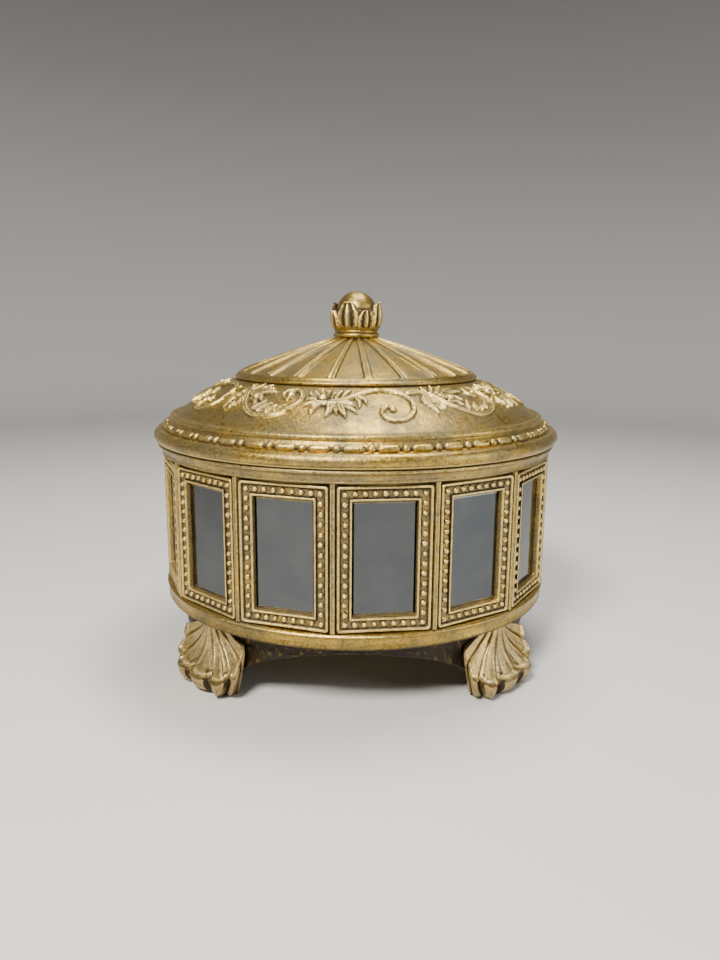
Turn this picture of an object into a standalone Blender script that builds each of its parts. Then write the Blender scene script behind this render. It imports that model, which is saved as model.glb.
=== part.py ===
"""Round footed jewelry box: a cast drum with fourteen bevelled mirrors, and a lid that lifts off.

The drum stands on a moulded base ring with four arches and four shell-shaped feet. The lid carries
a ball finial in a leaf cup, held by one screw, and a spigot under it keeps it centred in the mouth.
Velvet-covered card lines the wall, the floor and the lid.
"""

import math

import bmesh
import bpy
from mathutils import Matrix, Vector

# Shared clearances and smoothness. All sizes are in metres, and heights count up from the table.
contact_gap = 0.0003
pocket_clearance = 0.0003
spigot_clearance = 0.0008
hole_clearance = 0.0003
round_steps = 64
small_steps = 16
half_small_step = math.pi / small_steps

# Drum: panel_apothem is from the axis to the face of a panel's frame
panel_count = 14
panel_turn = math.radians(20.3)
panel_apothem = 0.0828
drum_wall = 0.0092
floor_thickness = 0.0050
rim_height = 0.0043
rim_step = 0.0004
rim_flare = 0.0010
cove_height = 0.0015

# Mirrors, and the margins of the frames round them
mirror_height = 0.0430
mirror_thickness = 0.0020
mirror_bevel = 0.0016
mirror_bevel_drop = 0.0007
mirror_recess = 0.0022
frame_margin = 0.0053
side_margin = 0.0069

# Base ring and its apron
ring_height = 0.0062
ring_step = 0.0001
ring_bulge = 0.0003
ring_undercut = 0.0016
apron_inset = 0.0076
apron_thickness = 0.0060
apron_floor_clearance = 0.0010
flange_reach = 0.0100
flange_thickness = 0.0040
arch_height = 0.0226
post_half_width = 0.0057

# Paw feet, each a shell that is widest halfway up; reaches are from the apron's outside
foot_count = 4
foot_turn = math.radians(45.0)
foot_height = 0.0270
toe_reach = 0.0102
toe_height = 0.0055
toe_half_width = 0.0170
shell_reach = 0.0092
shell_half_width = 0.0205
foot_top_reach = 0.0048
foot_top_half_width = 0.0095
sole_inset = 0.0020

# Lid, from its edge up to its flat top; insets are from the flange's widest circle
lid_overhang = 0.0003
flange_bulge = 0.0014
flange_rise = 0.0027
flange_height = 0.0054
flange_shoulder = 0.0012
bead_row_inset = 0.0030
bead_row_height = 0.0029
torus_inset = 0.0070
torus_height = 0.0028
torus_round = 0.0008
slope_inset = 0.0101
slope_height = 0.0143
slope_bulge = 0.0010
step_radius = 0.0526
step_inset = 0.0016
step_height = 0.0022
cone_height = 0.0152
cone_bulge = 0.0008
lid_top_radius = 0.0100
lid_top_thickness = 0.0040
lid_wall = 0.0050
spigot_depth = 0.0052
spigot_thickness = 0.0030
ledge_width = 0.0022
ledge_rise = 0.0024

# Finial
collar_radius = 0.0101
collar_height = 0.0032
cup_base_radius = 0.0085
cup_lip = 0.0022
cup_height = 0.0089
cup_flare = 0.0006
cup_floor = 0.0019
ball_radius = 0.0087

# Linings
lining_thickness = 0.0010
floor_lining_thickness = 0.0015
lining_below_spigot = 0.0010

# Screws: grip is how far the shank reaches into the far piece
screw_head_height = 0.0018
finial_screw_radius = 0.0015
finial_screw_head_radius = 0.0032
finial_screw_grip = 0.0050
washer_radius = 0.0050
washer_thickness = 0.0010
base_screw_count = 4
base_screw_radius = 0.0013
base_screw_head_radius = 0.0026
base_screw_grip = 0.0026
foot_screw_radius = 0.0013
foot_screw_head_radius = 0.0026
foot_screw_grip = 0.0050
foot_screw_height = 0.0130

# Radii that follow from the sizes above
corner_radius = panel_apothem / math.cos(math.pi / panel_count)
bore_radius = panel_apothem - drum_wall
rim_low_radius = corner_radius + rim_step
rim_radius = rim_low_radius + rim_flare
mirror_width = 2 * (panel_apothem * math.tan(math.pi / panel_count) - side_margin)
ring_top_radius = corner_radius + ring_step
ring_radius = ring_top_radius + ring_bulge
apron_radius = ring_radius - apron_inset
apron_bore = apron_radius - apron_thickness
arch_half_width = apron_radius * math.cos(foot_turn) - post_half_width
base_screw_circle = apron_bore - flange_reach / 2
lid_edge_radius = rim_radius + lid_overhang
lid_radius = lid_edge_radius + flange_bulge
bead_row_radius = lid_radius - bead_row_inset
torus_radius = lid_radius - torus_inset
slope_radius = lid_radius - slope_inset
spigot_radius = bore_radius - spigot_clearance
spigot_bore = spigot_radius - spigot_thickness
socket_radius = ball_radius + contact_gap
cup_mouth_radius = socket_radius + cup_lip

# Heights that follow from the sizes above
pocket_height = mirror_height + 2 * pocket_clearance
ring_bottom = foot_height + contact_gap
ring_top = ring_bottom + ring_height
flange_bottom = ring_top - flange_thickness
drum_bottom = ring_top + contact_gap
floor_top = drum_bottom + floor_thickness
panel_height = drum_bottom + frame_margin + pocket_height / 2
wall_top = drum_bottom + pocket_height + 2 * frame_margin + cove_height
rim_top = wall_top + rim_height
lid_seat = rim_top + contact_gap
spigot_bottom = rim_top - spigot_depth
bead_row_bottom = lid_seat + flange_height
torus_bottom = bead_row_bottom + bead_row_height
slope_bottom = torus_bottom + torus_height
slope_top = slope_bottom + slope_height
step_top = slope_top + step_height
lid_top = step_top + cone_height
lid_under = lid_top - lid_top_thickness
cup_bottom = lid_top + contact_gap
collar_top = cup_bottom + collar_height
cup_mouth = collar_top + cup_height
ball_height = cup_bottom + cup_floor + socket_radius
finial_screw_tip = ball_height - ball_radius + finial_screw_grip

# Colours of the plain materials: (red, green, blue), roughness, metallic
finishes = {
    "antique_gold": ((0.52, 0.38, 0.18), 0.42, 0.75),
    "dark_gold": ((0.16, 0.11, 0.06), 0.60, 0.40),
    "mirror_glass": ((0.85, 0.87, 0.88), 0.05, 1.00),
    "velvet": ((0.10, 0.07, 0.06), 0.95, 0.00),
    "screw_steel": ((0.45, 0.43, 0.40), 0.35, 1.00),
}


def clear_scene():
    for old in list(bpy.data.objects):
        bpy.data.objects.remove(old, do_unlink=True)


def new_collection(name):
    collection = bpy.data.collections.new(name)
    bpy.context.scene.collection.children.link(collection)
    return collection


def new_material(piece_name, finish):
    """Each piece has a material of its own, made from one of the finishes."""
    color, roughness, metallic = finishes[finish]
    material = bpy.data.materials.new(piece_name + "_" + finish)
    material.use_nodes = True
    shader = material.node_tree.nodes["Principled BSDF"]
    shader.inputs["Base Color"].default_value = (*color, 1.0)
    shader.inputs["Roughness"].default_value = roughness
    shader.inputs["Metallic"].default_value = metallic
    return material


def add_piece(name, mesh, finish=None):
    """A piece goes in the box's collection; a cutter has no finish and goes in its own."""
    piece = bpy.data.objects.new(name, mesh)
    if finish is None:
        cutter_collection.objects.link(piece)
        piece.hide_render = True
        piece.display_type = "WIRE"
    else:
        box_collection.objects.link(piece)
        mesh.materials.append(new_material(name, finish))
        mesh.shade_smooth()
        mesh.set_sharp_from_angle(angle=math.radians(35.0))
    return piece


def mesh_from(bm, name):
    mesh = bpy.data.meshes.new(name)
    bm.to_mesh(mesh)
    bm.free()
    return mesh


def cone_mesh(name, low_radius, top_radius, bottom, top, steps=round_steps, turn=0.0):
    """A straight or tapered cylinder on the Z axis, between two heights."""
    bm = bmesh.new()
    place = Matrix.Translation((0, 0, (bottom + top) / 2)) @ Matrix.Rotation(turn, 4, "Z")
    bmesh.ops.create_cone(bm, cap_ends=True, segments=steps, radius1=low_radius,
                          radius2=top_radius, depth=top - bottom, matrix=place)
    return mesh_from(bm, name)


def box_mesh(name, size, center=(0, 0, 0)):
    bm = bmesh.new()
    place = Matrix.Translation(center) @ Matrix.Diagonal((*size, 1.0))
    bmesh.ops.create_cube(bm, size=1.0, matrix=place)
    return mesh_from(bm, name)


def turned(name, outline, finish, steps=round_steps):
    """A closed outline of (radius, height) points, outer side first and downwards, spun round Z."""
    count = len(outline)
    edges = [(i, (i + 1) % count) for i in range(count)]
    mesh = bpy.data.meshes.new(name)
    mesh.from_pydata([(radius, 0, height) for radius, height in outline], edges, [])
    piece = add_piece(name, mesh, finish)
    screw = piece.modifiers.new("Turn", "SCREW")
    screw.steps = steps
    screw.render_steps = steps
    screw.use_merge_vertices = True
    screw.merge_threshold = 0.00001
    return piece


def arc_points(start, end, bulge, count):
    """Points from start to end along a low arc that stands proud of the chord by bulge."""
    (r0, z0), (r1, z1) = start, end
    length = math.hypot(r1 - r0, z1 - z0)
    out_r, out_z = (z0 - z1) / length, (r1 - r0) / length
    points = []
    for i in range(count + 1):
        t = i / count
        rise = bulge * 4 * t * (1 - t)
        points.append((r0 + (r1 - r0) * t + out_r * rise, z0 + (z1 - z0) * t + out_z * rise))
    return points


def boolean(piece, other, operation="DIFFERENCE"):
    modifier = piece.modifiers.new(operation.title(), "BOOLEAN")
    modifier.operation = operation
    modifier.solver = "EXACT"
    modifier.object = other


def about_axis(angle, radius=0.0, height=0.0):
    """A place turned by angle about Z and moved out along its own X."""
    return Matrix.Rotation(angle, 4, "Z") @ Matrix.Translation((radius, 0, height))


def screw_mesh(name, radius, head_radius, length):
    """A plain screw on Z: the head's top is at 0, the shank ends at length below it."""
    bm = bmesh.new()
    head = Matrix.Translation((0, 0, -screw_head_height / 2))
    bmesh.ops.create_cone(bm, cap_ends=True, segments=small_steps, radius1=head_radius,
                          radius2=head_radius, depth=screw_head_height, matrix=head)
    under = [f for f in bm.faces if f.normal.z < -0.5]
    bmesh.ops.inset_region(bm, faces=under, thickness=head_radius - radius, depth=0.0)
    core = max((f for f in bm.faces if f.normal.z < -0.5), key=lambda f: f.calc_area())
    shank = bmesh.ops.extrude_face_region(bm, geom=[core])["geom"]
    bmesh.ops.delete(bm, geom=[core], context="FACES_ONLY")
    moved = [v for v in shank if isinstance(v, bmesh.types.BMVert)]
    bmesh.ops.translate(bm, verts=moved, vec=(0, 0, screw_head_height - length))
    return mesh_from(bm, name)


def make_drum():
    """A fourteen-sided wall with a round rim, bored out, with a floor and a pocket per mirror."""
    body = cone_mesh("drum", corner_radius, corner_radius, drum_bottom, wall_top + rim_height / 2,
                     panel_count, panel_turn - math.pi / panel_count)
    drum = add_piece("drum", body, "antique_gold")
    rim = cone_mesh("rim_shape", rim_low_radius, rim_radius, wall_top, rim_top)
    boolean(drum, add_piece("rim_shape", rim), "UNION")
    bore = cone_mesh("bore_cutter", bore_radius, bore_radius, floor_top, rim_top + rim_height)
    boolean(drum, add_piece("bore_cutter", bore))
    depth = mirror_recess + mirror_thickness + contact_gap
    pocket_width = mirror_width + 2 * pocket_clearance
    pocket = box_mesh("pocket_cutter", (2 * depth, pocket_width, pocket_height))
    for i in range(panel_count):
        cutter = add_piece("pocket_cutter_%02d" % (i + 1), pocket)
        cutter.matrix_world = about_axis(panel_angle(i), panel_apothem, panel_height)
        boolean(drum, cutter)
    hole_radius = base_screw_radius + hole_clearance
    hole_top = drum_bottom + base_screw_grip + contact_gap + hole_clearance
    hole = cone_mesh("floor_hole_cutter", hole_radius, hole_radius, drum_bottom - contact_gap, hole_top,
                     small_steps, half_small_step)
    for i in range(base_screw_count):
        cutter = add_piece("floor_hole_cutter_%d" % (i + 1), hole)
        cutter.matrix_world = about_axis(base_screw_angle(i), base_screw_circle)
        boolean(drum, cutter)
    return drum


def panel_angle(index):
    return panel_turn + index * math.tau / panel_count


def base_screw_angle(index):
    return index * math.tau / base_screw_count


def foot_angle(index):
    return foot_turn + index * math.tau / foot_count


def make_mirrors():
    """A flat glass with a bevelled front: a slab, and a smaller face standing in front of it."""
    bm = bmesh.new()
    slab = mirror_thickness - mirror_bevel_drop
    place = Matrix.Translation((-mirror_bevel_drop - slab / 2, 0, 0))
    place = place @ Matrix.Diagonal((slab, mirror_width, mirror_height, 1.0))
    bmesh.ops.create_cube(bm, size=1.0, matrix=place)
    front = [f for f in bm.faces if f.normal.x > 0.5]
    bmesh.ops.inset_region(bm, faces=front, thickness=mirror_bevel, depth=mirror_bevel_drop)
    mesh = mesh_from(bm, "mirror")
    for i in range(panel_count):
        name = "mirror_%02d" % (i + 1)
        piece = add_piece(name, mesh.copy(), "mirror_glass")
        place = about_axis(panel_angle(i), panel_apothem - mirror_recess, panel_height)
        piece.matrix_world = place


def make_base_ring():
    """The ring moulding and its apron in one casting, with two arches cut right through it."""
    outline = [
        (ring_top_radius, ring_top),
        (ring_radius, ring_top - ring_height * 0.30),
        (ring_radius, ring_top - ring_height * 0.60),
        (ring_radius - ring_undercut, ring_bottom),
        (apron_radius, ring_bottom),
        (apron_radius, apron_floor_clearance),
        (apron_bore, apron_floor_clearance),
        (apron_bore, flange_bottom),
        (apron_bore - flange_reach, flange_bottom),
        (apron_bore - flange_reach, ring_top),
    ]
    ring = turned("base_ring", outline, "dark_gold")
    for i, turn in enumerate((0.0, math.pi / 2)):
        arch = cone_mesh("arch_cutter_%d" % (i + 1), 1.0, 1.0, -ring_radius, ring_radius)
        arch.transform(Matrix.Diagonal((arch_half_width, arch_height, 1.0, 1.0)))
        cutter = add_piece("arch_cutter_%d" % (i + 1), arch)
        cutter.matrix_world = Matrix.Rotation(turn, 4, "Z") @ Matrix.Rotation(math.pi / 2, 4, "X")
        boolean(ring, cutter)
    hole_radius = base_screw_radius + hole_clearance
    hole = cone_mesh("flange_hole_cutter", hole_radius, hole_radius, flange_bottom - contact_gap,
                     ring_top + contact_gap, small_steps, half_small_step)
    for i in range(base_screw_count):
        cutter = add_piece("flange_hole_cutter_%d" % (i + 1), hole)
        cutter.matrix_world = about_axis(base_screw_angle(i), base_screw_circle)
        boolean(ring, cutter)
    for i in range(foot_count):
        boolean(ring, foot_hole_cutter(i, "apron"))
    return ring


def foot_hole_cutter(index, owner):
    """A radial hole at a foot screw's place, from inside the apron to the screw's tip."""
    radius = foot_screw_radius + hole_clearance
    start = apron_bore - apron_thickness / 2
    end = apron_radius + foot_screw_grip + 2 * contact_gap
    hole = cone_mesh("%s_hole_cutter" % owner, radius, radius, start, end, small_steps,
                     half_small_step)
    hole.transform(Matrix.Rotation(math.pi / 2, 4, "Y"))
    cutter = add_piece("%s_hole_cutter_%d" % (owner, index + 1), hole)
    cutter.matrix_world = about_axis(foot_angle(index), 0.0, foot_screw_height)
    return cutter


def foot_mesh():
    """A loft of ellipses up the foot, in its own X (outwards), Y (sideways) and Z."""
    sections = [
        (0.0, toe_reach - sole_inset, toe_half_width - sole_inset),
        (toe_height, toe_reach, toe_half_width),
        (0.45 * foot_height, shell_reach, shell_half_width),
        (0.72 * foot_height, (shell_reach + foot_top_reach) / 2, shell_half_width - sole_inset),
        (foot_height, foot_top_reach, foot_top_half_width),
    ]
    sides = 28
    bm = bmesh.new()
    rings = []
    for height, reach, half_width in sections:
        ring = []
        for k in range(sides):
            angle = math.tau * k / sides
            x = apron_radius + reach * math.cos(angle)
            ring.append(bm.verts.new((x, half_width * math.sin(angle), height)))
        rings.append(ring)
    for low, high in zip(rings, rings[1:]):
        for k in range(sides):
            n = (k + 1) % sides
            bm.faces.new((low[k], low[n], high[n], high[k]))
    bm.faces.new(list(reversed(rings[0])))
    bm.faces.new(rings[-1])
    return mesh_from(bm, "paw_foot")


def make_feet():
    """Each foot's back is cut to the apron's outside, and a screw from inside holds it."""
    for i in range(foot_count):
        foot = add_piece("paw_foot_%d" % (i + 1), foot_mesh(), "antique_gold")
        foot.matrix_world = about_axis(foot_angle(i))
        back = cone_mesh("foot_back_cutter", apron_radius + contact_gap, apron_radius + contact_gap,
                         -sole_inset, foot_height + sole_inset)
        boolean(foot, add_piece("foot_back_cutter_%d" % (i + 1), back))
        boolean(foot, foot_hole_cutter(i, "foot"))


def make_screws():
    """Base screws point up into the drum's floor, foot screws point outwards into the feet."""
    head_top = screw_head_height + contact_gap
    length = head_top + flange_thickness + contact_gap + base_screw_grip
    for i in range(base_screw_count):
        mesh = screw_mesh("base_screw", base_screw_radius, base_screw_head_radius, length)
        mesh.transform(Matrix.Rotation(math.pi, 4, "X"))
        screw = add_piece("base_screw_%d" % (i + 1), mesh, "screw_steel")
        place = about_axis(base_screw_angle(i), base_screw_circle, flange_bottom - head_top)
        screw.matrix_world = place
    length = head_top + apron_thickness + contact_gap + foot_screw_grip
    for i in range(foot_count):
        mesh = screw_mesh("foot_screw", foot_screw_radius, foot_screw_head_radius, length)
        mesh.transform(Matrix.Rotation(-math.pi / 2, 4, "Y"))
        screw = add_piece("foot_screw_%d" % (i + 1), mesh, "screw_steel")
        # The apron's inside is faceted, so the head stands back by the sagitta of one facet.
        flat = apron_bore * (1 - math.cos(math.pi / round_steps)) + head_top
        screw.matrix_world = about_axis(foot_angle(i), apron_bore - flat, foot_screw_height)


def lid_outer_side():
    """The lid's outside from its flat top down to its edge."""
    side = arc_points((lid_top_radius, lid_top), (step_radius - step_inset, step_top), cone_bulge, 4)
    side += arc_points((step_radius, slope_top), (slope_radius, slope_bottom), slope_bulge, 4)
    side += [
        (torus_radius - torus_round, slope_bottom),
        (torus_radius, slope_bottom - torus_height / 2),
        (torus_radius, torus_bottom),
        (bead_row_radius, bead_row_bottom),
        (lid_radius - flange_shoulder, lid_seat + (flange_rise + flange_height) / 2),
        (lid_radius, lid_seat + flange_rise),
        (lid_edge_radius, lid_seat),
    ]
    return side


def make_lid():
    """The lid's wall follows its outside, and its underside steps down into the spigot."""
    hole_radius = finial_screw_radius + hole_clearance
    ledge_radius = spigot_bore - ledge_width
    ledge_height = spigot_bottom + ledge_rise
    inside = [
        (spigot_radius, lid_seat),
        (spigot_radius, spigot_bottom),
        (spigot_bore, spigot_bottom),
        (spigot_bore, ledge_height),
        (ledge_radius, ledge_height),
        (ledge_radius, slope_bottom),
        (step_radius, slope_top - lid_wall),
        (lid_top_radius, lid_under),
        (hole_radius, lid_under),
    ]
    outline = [(hole_radius, lid_top)] + lid_outer_side() + inside
    return turned("lid", outline, "antique_gold")


def make_finial():
    """The leaf cup's socket is a sphere cap, and the ball that sits in it has the screw's hole."""
    hole_radius = finial_screw_radius + hole_clearance
    outline = [
        (cup_mouth_radius, cup_mouth),
        (cup_mouth_radius - cup_flare, cup_mouth - cup_height * 0.5),
        (cup_base_radius, cup_mouth - cup_height * 0.88),
        (cup_base_radius, collar_top),
        (collar_radius, collar_top),
        (collar_radius, cup_bottom),
        (hole_radius, cup_bottom),
    ]
    low_angle = math.asin(hole_radius / socket_radius)
    high_angle = math.pi / 2 + math.asin(min(0.9, (cup_mouth - ball_height) / socket_radius))
    arc_count = 8
    for i in range(arc_count + 1):
        angle = low_angle + (high_angle - low_angle) * i / arc_count
        outline.append((socket_radius * math.sin(angle), ball_height - socket_radius * math.cos(angle)))
    cup = turned("finial_cup", outline, "antique_gold", steps=24)

    bm = bmesh.new()
    bmesh.ops.create_uvsphere(bm, u_segments=24, v_segments=14, radius=ball_radius,
                              matrix=Matrix.Translation((0, 0, ball_height)))
    ball = add_piece("finial_ball", mesh_from(bm, "finial_ball"), "antique_gold")
    hole = cone_mesh("ball_hole_cutter", hole_radius, hole_radius, cup_bottom,
                     finial_screw_tip + contact_gap, small_steps, half_small_step)
    boolean(ball, add_piece("ball_hole_cutter", hole))

    washer_top = lid_under - contact_gap
    washer_outline = [
        (washer_radius, washer_top),
        (washer_radius, washer_top - washer_thickness),
        (hole_radius, washer_top - washer_thickness),
        (hole_radius, washer_top),
    ]
    washer = turned("finial_washer", washer_outline, "screw_steel", steps=24)

    head_top = washer_top - washer_thickness - contact_gap
    length = finial_screw_tip - head_top + screw_head_height
    mesh = screw_mesh("finial_screw", finial_screw_radius, finial_screw_head_radius, length)
    mesh.transform(Matrix.Rotation(math.pi, 4, "X"))
    mesh.transform(Matrix.Translation((0, 0, head_top - screw_head_height)))
    screw = add_piece("finial_screw", mesh, "screw_steel")
    return [cup, ball, washer, screw]


def ring_outline(outer, inner, bottom, top):
    return [(outer, top), (outer, bottom), (inner, bottom), (inner, top)]


def make_linings():
    """Velvet-covered card: a sleeve, a floor disc inside it, and a disc up under the lid."""
    sleeve_outer = bore_radius - contact_gap
    sleeve_inner = sleeve_outer - lining_thickness
    sleeve_bottom = floor_top + contact_gap
    sleeve_top = spigot_bottom - lining_below_spigot
    turned("wall_lining", ring_outline(sleeve_outer, sleeve_inner, sleeve_bottom, sleeve_top), "velvet")
    disc = cone_mesh("floor_lining", sleeve_inner - contact_gap, sleeve_inner - contact_gap,
                     sleeve_bottom, sleeve_bottom + floor_lining_thickness)
    add_piece("floor_lining", disc, "velvet")
    lid_disc_top = spigot_bottom + ledge_rise - contact_gap
    lid_disc_radius = spigot_bore - contact_gap
    disc = cone_mesh("lid_lining", lid_disc_radius, lid_disc_radius,
                     lid_disc_top - floor_lining_thickness, lid_disc_top)
    return add_piece("lid_lining", disc, "velvet")


clear_scene()
box_collection = new_collection("jewelry_box")
cutter_collection = new_collection("cutters")

make_drum()
make_mirrors()
make_base_ring()
make_feet()
make_screws()
lid = make_lid()
finial = make_finial()
lid_lining = make_linings()

# The lid lifts straight up, so its pieces hang on an empty on the box's axis.
lid_axis = bpy.data.objects.new("lid_axis", None)
lid_axis.location = Vector((0, 0, lid_seat))
box_collection.objects.link(lid_axis)
for piece in [lid, lid_lining] + finial:
    piece.parent = lid_axis
    piece.matrix_parent_inverse = Matrix.Translation((0, 0, -lid_seat))
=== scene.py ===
import math

import bpy
import numpy as np
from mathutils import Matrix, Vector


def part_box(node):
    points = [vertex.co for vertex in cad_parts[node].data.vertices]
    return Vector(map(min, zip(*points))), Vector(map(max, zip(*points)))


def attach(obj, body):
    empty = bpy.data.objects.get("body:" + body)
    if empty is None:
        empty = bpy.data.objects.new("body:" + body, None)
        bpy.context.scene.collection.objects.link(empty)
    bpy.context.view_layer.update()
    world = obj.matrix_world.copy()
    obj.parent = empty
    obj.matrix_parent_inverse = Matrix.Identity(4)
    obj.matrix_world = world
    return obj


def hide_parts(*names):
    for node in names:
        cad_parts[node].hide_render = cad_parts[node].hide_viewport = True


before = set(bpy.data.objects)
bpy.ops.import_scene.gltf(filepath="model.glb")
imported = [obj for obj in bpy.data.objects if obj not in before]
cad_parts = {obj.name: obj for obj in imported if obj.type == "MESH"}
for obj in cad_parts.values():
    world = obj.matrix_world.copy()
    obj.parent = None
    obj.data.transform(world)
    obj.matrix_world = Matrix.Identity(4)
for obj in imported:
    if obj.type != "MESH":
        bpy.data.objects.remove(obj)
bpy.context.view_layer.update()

millimetre = 0.001
tau = math.tau
print("frame loaded")


def boxMm(node):
    # lowest and highest corner of a node, in millimetres
    low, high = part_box(node)
    return np.array(low) / millimetre, np.array(high) / millimetre


drumLow, drumHigh = boxMm("drum")
ringLow, ringHigh = boxMm("base_ring")
lidLow, lidHigh = boxMm("lid")
cupLow = boxMm("finial_cup")[0]
ballHigh = boxMm("finial_ball")[1]
wallLow, wallHigh = boxMm("wall_lining")
floorLow, floorHigh = boxMm("floor_lining")
lidLiningLow, lidLiningHigh = boxMm("lid_lining")
washerLow, washerHigh = boxMm("finial_washer")
seatHeight = drumHigh[2] + 0.3      # the lid's flange rests this gap over the drum's rim


def smoothStep(low, high, x):
    # 0 before low, 1 after high, and the cubic 3tt - 2ttt between them
    t = np.clip((x - low) / (high - low), 0, 1)
    return t * t * (3 - 2 * t)


def arcPoints(centre, radius, startDegrees, endDegrees, count):
    # points on a circle of (radius, height), angles counted from straight out, upwards
    angle = np.radians(np.linspace(startDegrees, endDegrees, count))
    return np.stack([centre[0] + radius * np.cos(angle), centre[1] + radius * np.sin(angle)], -1)


def bowedLine(start, end, bulge, count):
    # a straight line with a parabola of height bulge on its left side
    start, end = np.array(start, float), np.array(end, float)
    along = end - start
    left = np.array([-along[1], along[0]]) / np.hypot(*along)
    t = np.linspace(0, 1, count)[:, None]
    return start + along * t + left * bulge * 4 * t * (1 - t)


def smoothCurve(points, count):
    # Catmull-Rom curve through the points: a cubic between each pair, tangents from the neighbours
    points = np.array(points, float)
    padded = np.vstack([2 * points[0] - points[1], points, 2 * points[-1] - points[-2]])
    s = np.linspace(0, len(points) - 1 - 1e-9, count)
    i = s.astype(int)
    t = (s - i)[:, None]
    p0, p1, p2, p3 = padded[i], padded[i + 1], padded[i + 2], padded[i + 3]
    return 0.5 * (2 * p1 + (p2 - p0) * t + (2 * p0 - 5 * p1 + 4 * p2 - p3) * t ** 2
                  + (3 * p1 - p0 - 3 * p2 + p3) * t ** 3)


def padGrid(field, axis, wrap):
    # one more row at both ends: the far row on a wrapped grid, a straight run-out on an open one
    width = [(0, 0)] * field.ndim
    width[axis] = (1, 1)
    if wrap:
        return np.pad(field, width, mode="wrap")
    return np.pad(field, width, mode="reflect", reflect_type="odd")


def blurGrid(field, times, wrapRows, wrapColumns):
    # repeated one-two-one averages along both ways of the grid
    for _ in range(times):
        for axis, wrap in ((0, wrapRows), (1, wrapColumns)):
            wide = np.moveaxis(padGrid(field, axis, wrap), axis, 0)
            field = np.moveaxis((wide[:-2] + 2 * wide[1:-1] + wide[2:]) / 4, 0, axis)
    return field


def gridNormals(points, wrapRows, wrapColumns):
    # cross product of the two central differences
    down = np.moveaxis(padGrid(points, 0, wrapRows), 0, 0)
    across = np.moveaxis(padGrid(points, 1, wrapColumns), 1, 0)
    down = down[2:] - down[:-2]
    across = np.moveaxis(across[2:] - across[:-2], 0, 1)
    normal = np.cross(down, across)
    return normal / np.maximum(np.linalg.norm(normal, axis=-1, keepdims=True), 1e-9)


def gridRelief(points, wrapRows, wrapColumns, times=6, gain=2.0):
    # 0.5 on flat ground, more on ridges, less in hollows: how far a point stands out of its blur
    normal = gridNormals(points, wrapRows, wrapColumns)
    stand = ((points - blurGrid(points, times, wrapRows, wrapColumns)) * normal).sum(-1)
    return np.clip(0.5 + gain * stand, 0, 1)


def gridPart(points, wrapRows=False, wrapColumns=True, startPole=None, endPole=None,
             relief=None, shade=0.0, times=6, gain=2.0):
    # a grid of points (rows, columns, 3) as a closed part; a pole closes the first or last row
    rows, columns = points.shape[:2]
    if relief is None:
        relief = gridRelief(points, wrapRows, wrapColumns, times, gain)
    relief = np.broadcast_to(relief, (rows, columns)).ravel()
    shade = np.broadcast_to(shade, (rows, columns)).ravel()
    r, c = np.meshgrid(np.arange(rows if wrapRows else rows - 1),
                       np.arange(columns if wrapColumns else columns - 1), indexing="ij")
    r2, c2 = (r + 1) % rows, (c + 1) % columns
    quads = np.stack([r * columns + c, r2 * columns + c, r2 * columns + c2, r * columns + c2], -1)
    flat, triangles = points.reshape(-1, 3), []
    ring = np.arange(columns if wrapColumns else columns - 1)
    after = (ring + 1) % columns
    for pole, base in ((startPole, 0), (endPole, (rows - 1) * columns)):
        if pole is None:
            continue
        flat = np.vstack([flat, pole])
        relief = np.append(relief, relief[base])
        shade = np.append(shade, shade[base])
        apex = np.full_like(ring, len(flat) - 1)
        fan = np.stack([apex, base + ring, base + after], -1)
        triangles.append(fan if pole is startPole else fan[:, ::-1])
    triangles = np.vstack(triangles) if triangles else np.zeros((0, 3), int)
    return outwards({"points": flat, "quads": quads.reshape(-1, 4), "triangles": triangles,
                     "relief": relief, "shade": shade})


def outwards(part):
    # a closed part whose signed volume is negative is inside out, so its faces are turned round
    p, q, t = part["points"], part["quads"], part["triangles"]
    corners = np.vstack([q[:, [0, 1, 2]], q[:, [0, 2, 3]], t])
    volume = (p[corners[:, 0]] * np.cross(p[corners[:, 1]], p[corners[:, 2]])).sum()
    if volume < 0:
        part["quads"], part["triangles"] = q[:, ::-1], t[:, ::-1]
    return part


def lathePart(profile, columns, shade=0.0, wobble=0.04, times=6, gain=2.0, relief=None):
    # a profile of (radius, height) turned round Z; ends on the axis become poles, others wrap
    profile = np.array(profile, float)
    poles = [None, None]
    if profile[0, 0] < 1e-6:
        poles[0], profile = np.array([0, 0, profile[0, 1]]), profile[1:]
    if profile[-1, 0] < 1e-6:
        poles[1], profile = np.array([0, 0, profile[-1, 1]]), profile[:-1]
    theta = np.linspace(0, tau, columns, endpoint=False)
    points = turnProfile(profile, theta, wobble)
    return gridPart(points, poles[0] is None, True, poles[0], poles[1], relief, shade, times, gain)


def turnProfile(profile, theta, wobble=0.04):
    # the slight waviness of a casting: two slow waves round the axis that also move with height
    radius, height = profile[:, :1], profile[:, 1:]
    wave = np.sin(5 * theta + height * 0.11) + np.sin(9 * theta - height * 0.17 + 2.0) - 2
    radius = radius + wobble * wave * np.minimum(radius / 20, 1)
    return np.stack([radius * np.cos(theta), radius * np.sin(theta), height + 0 * theta], -1)


def scatterPart(base, centres, frames, scales, relief):
    # copies of a small closed part: each is scaled, turned by its own three axes and moved
    copies = np.einsum("nij,mj->nmi", frames * scales[:, None, :], base["points"]) + centres[:, None]
    size = len(base["points"])
    step = (np.arange(len(centres)) * size)[:, None, None]
    return {"points": copies.reshape(-1, 3), "quads": (base["quads"] + step).reshape(-1, 4),
            "triangles": (base["triangles"] + step).reshape(-1, 3),
            "relief": np.tile(relief, len(centres)), "shade": np.zeros(len(centres) * size)}


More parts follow.
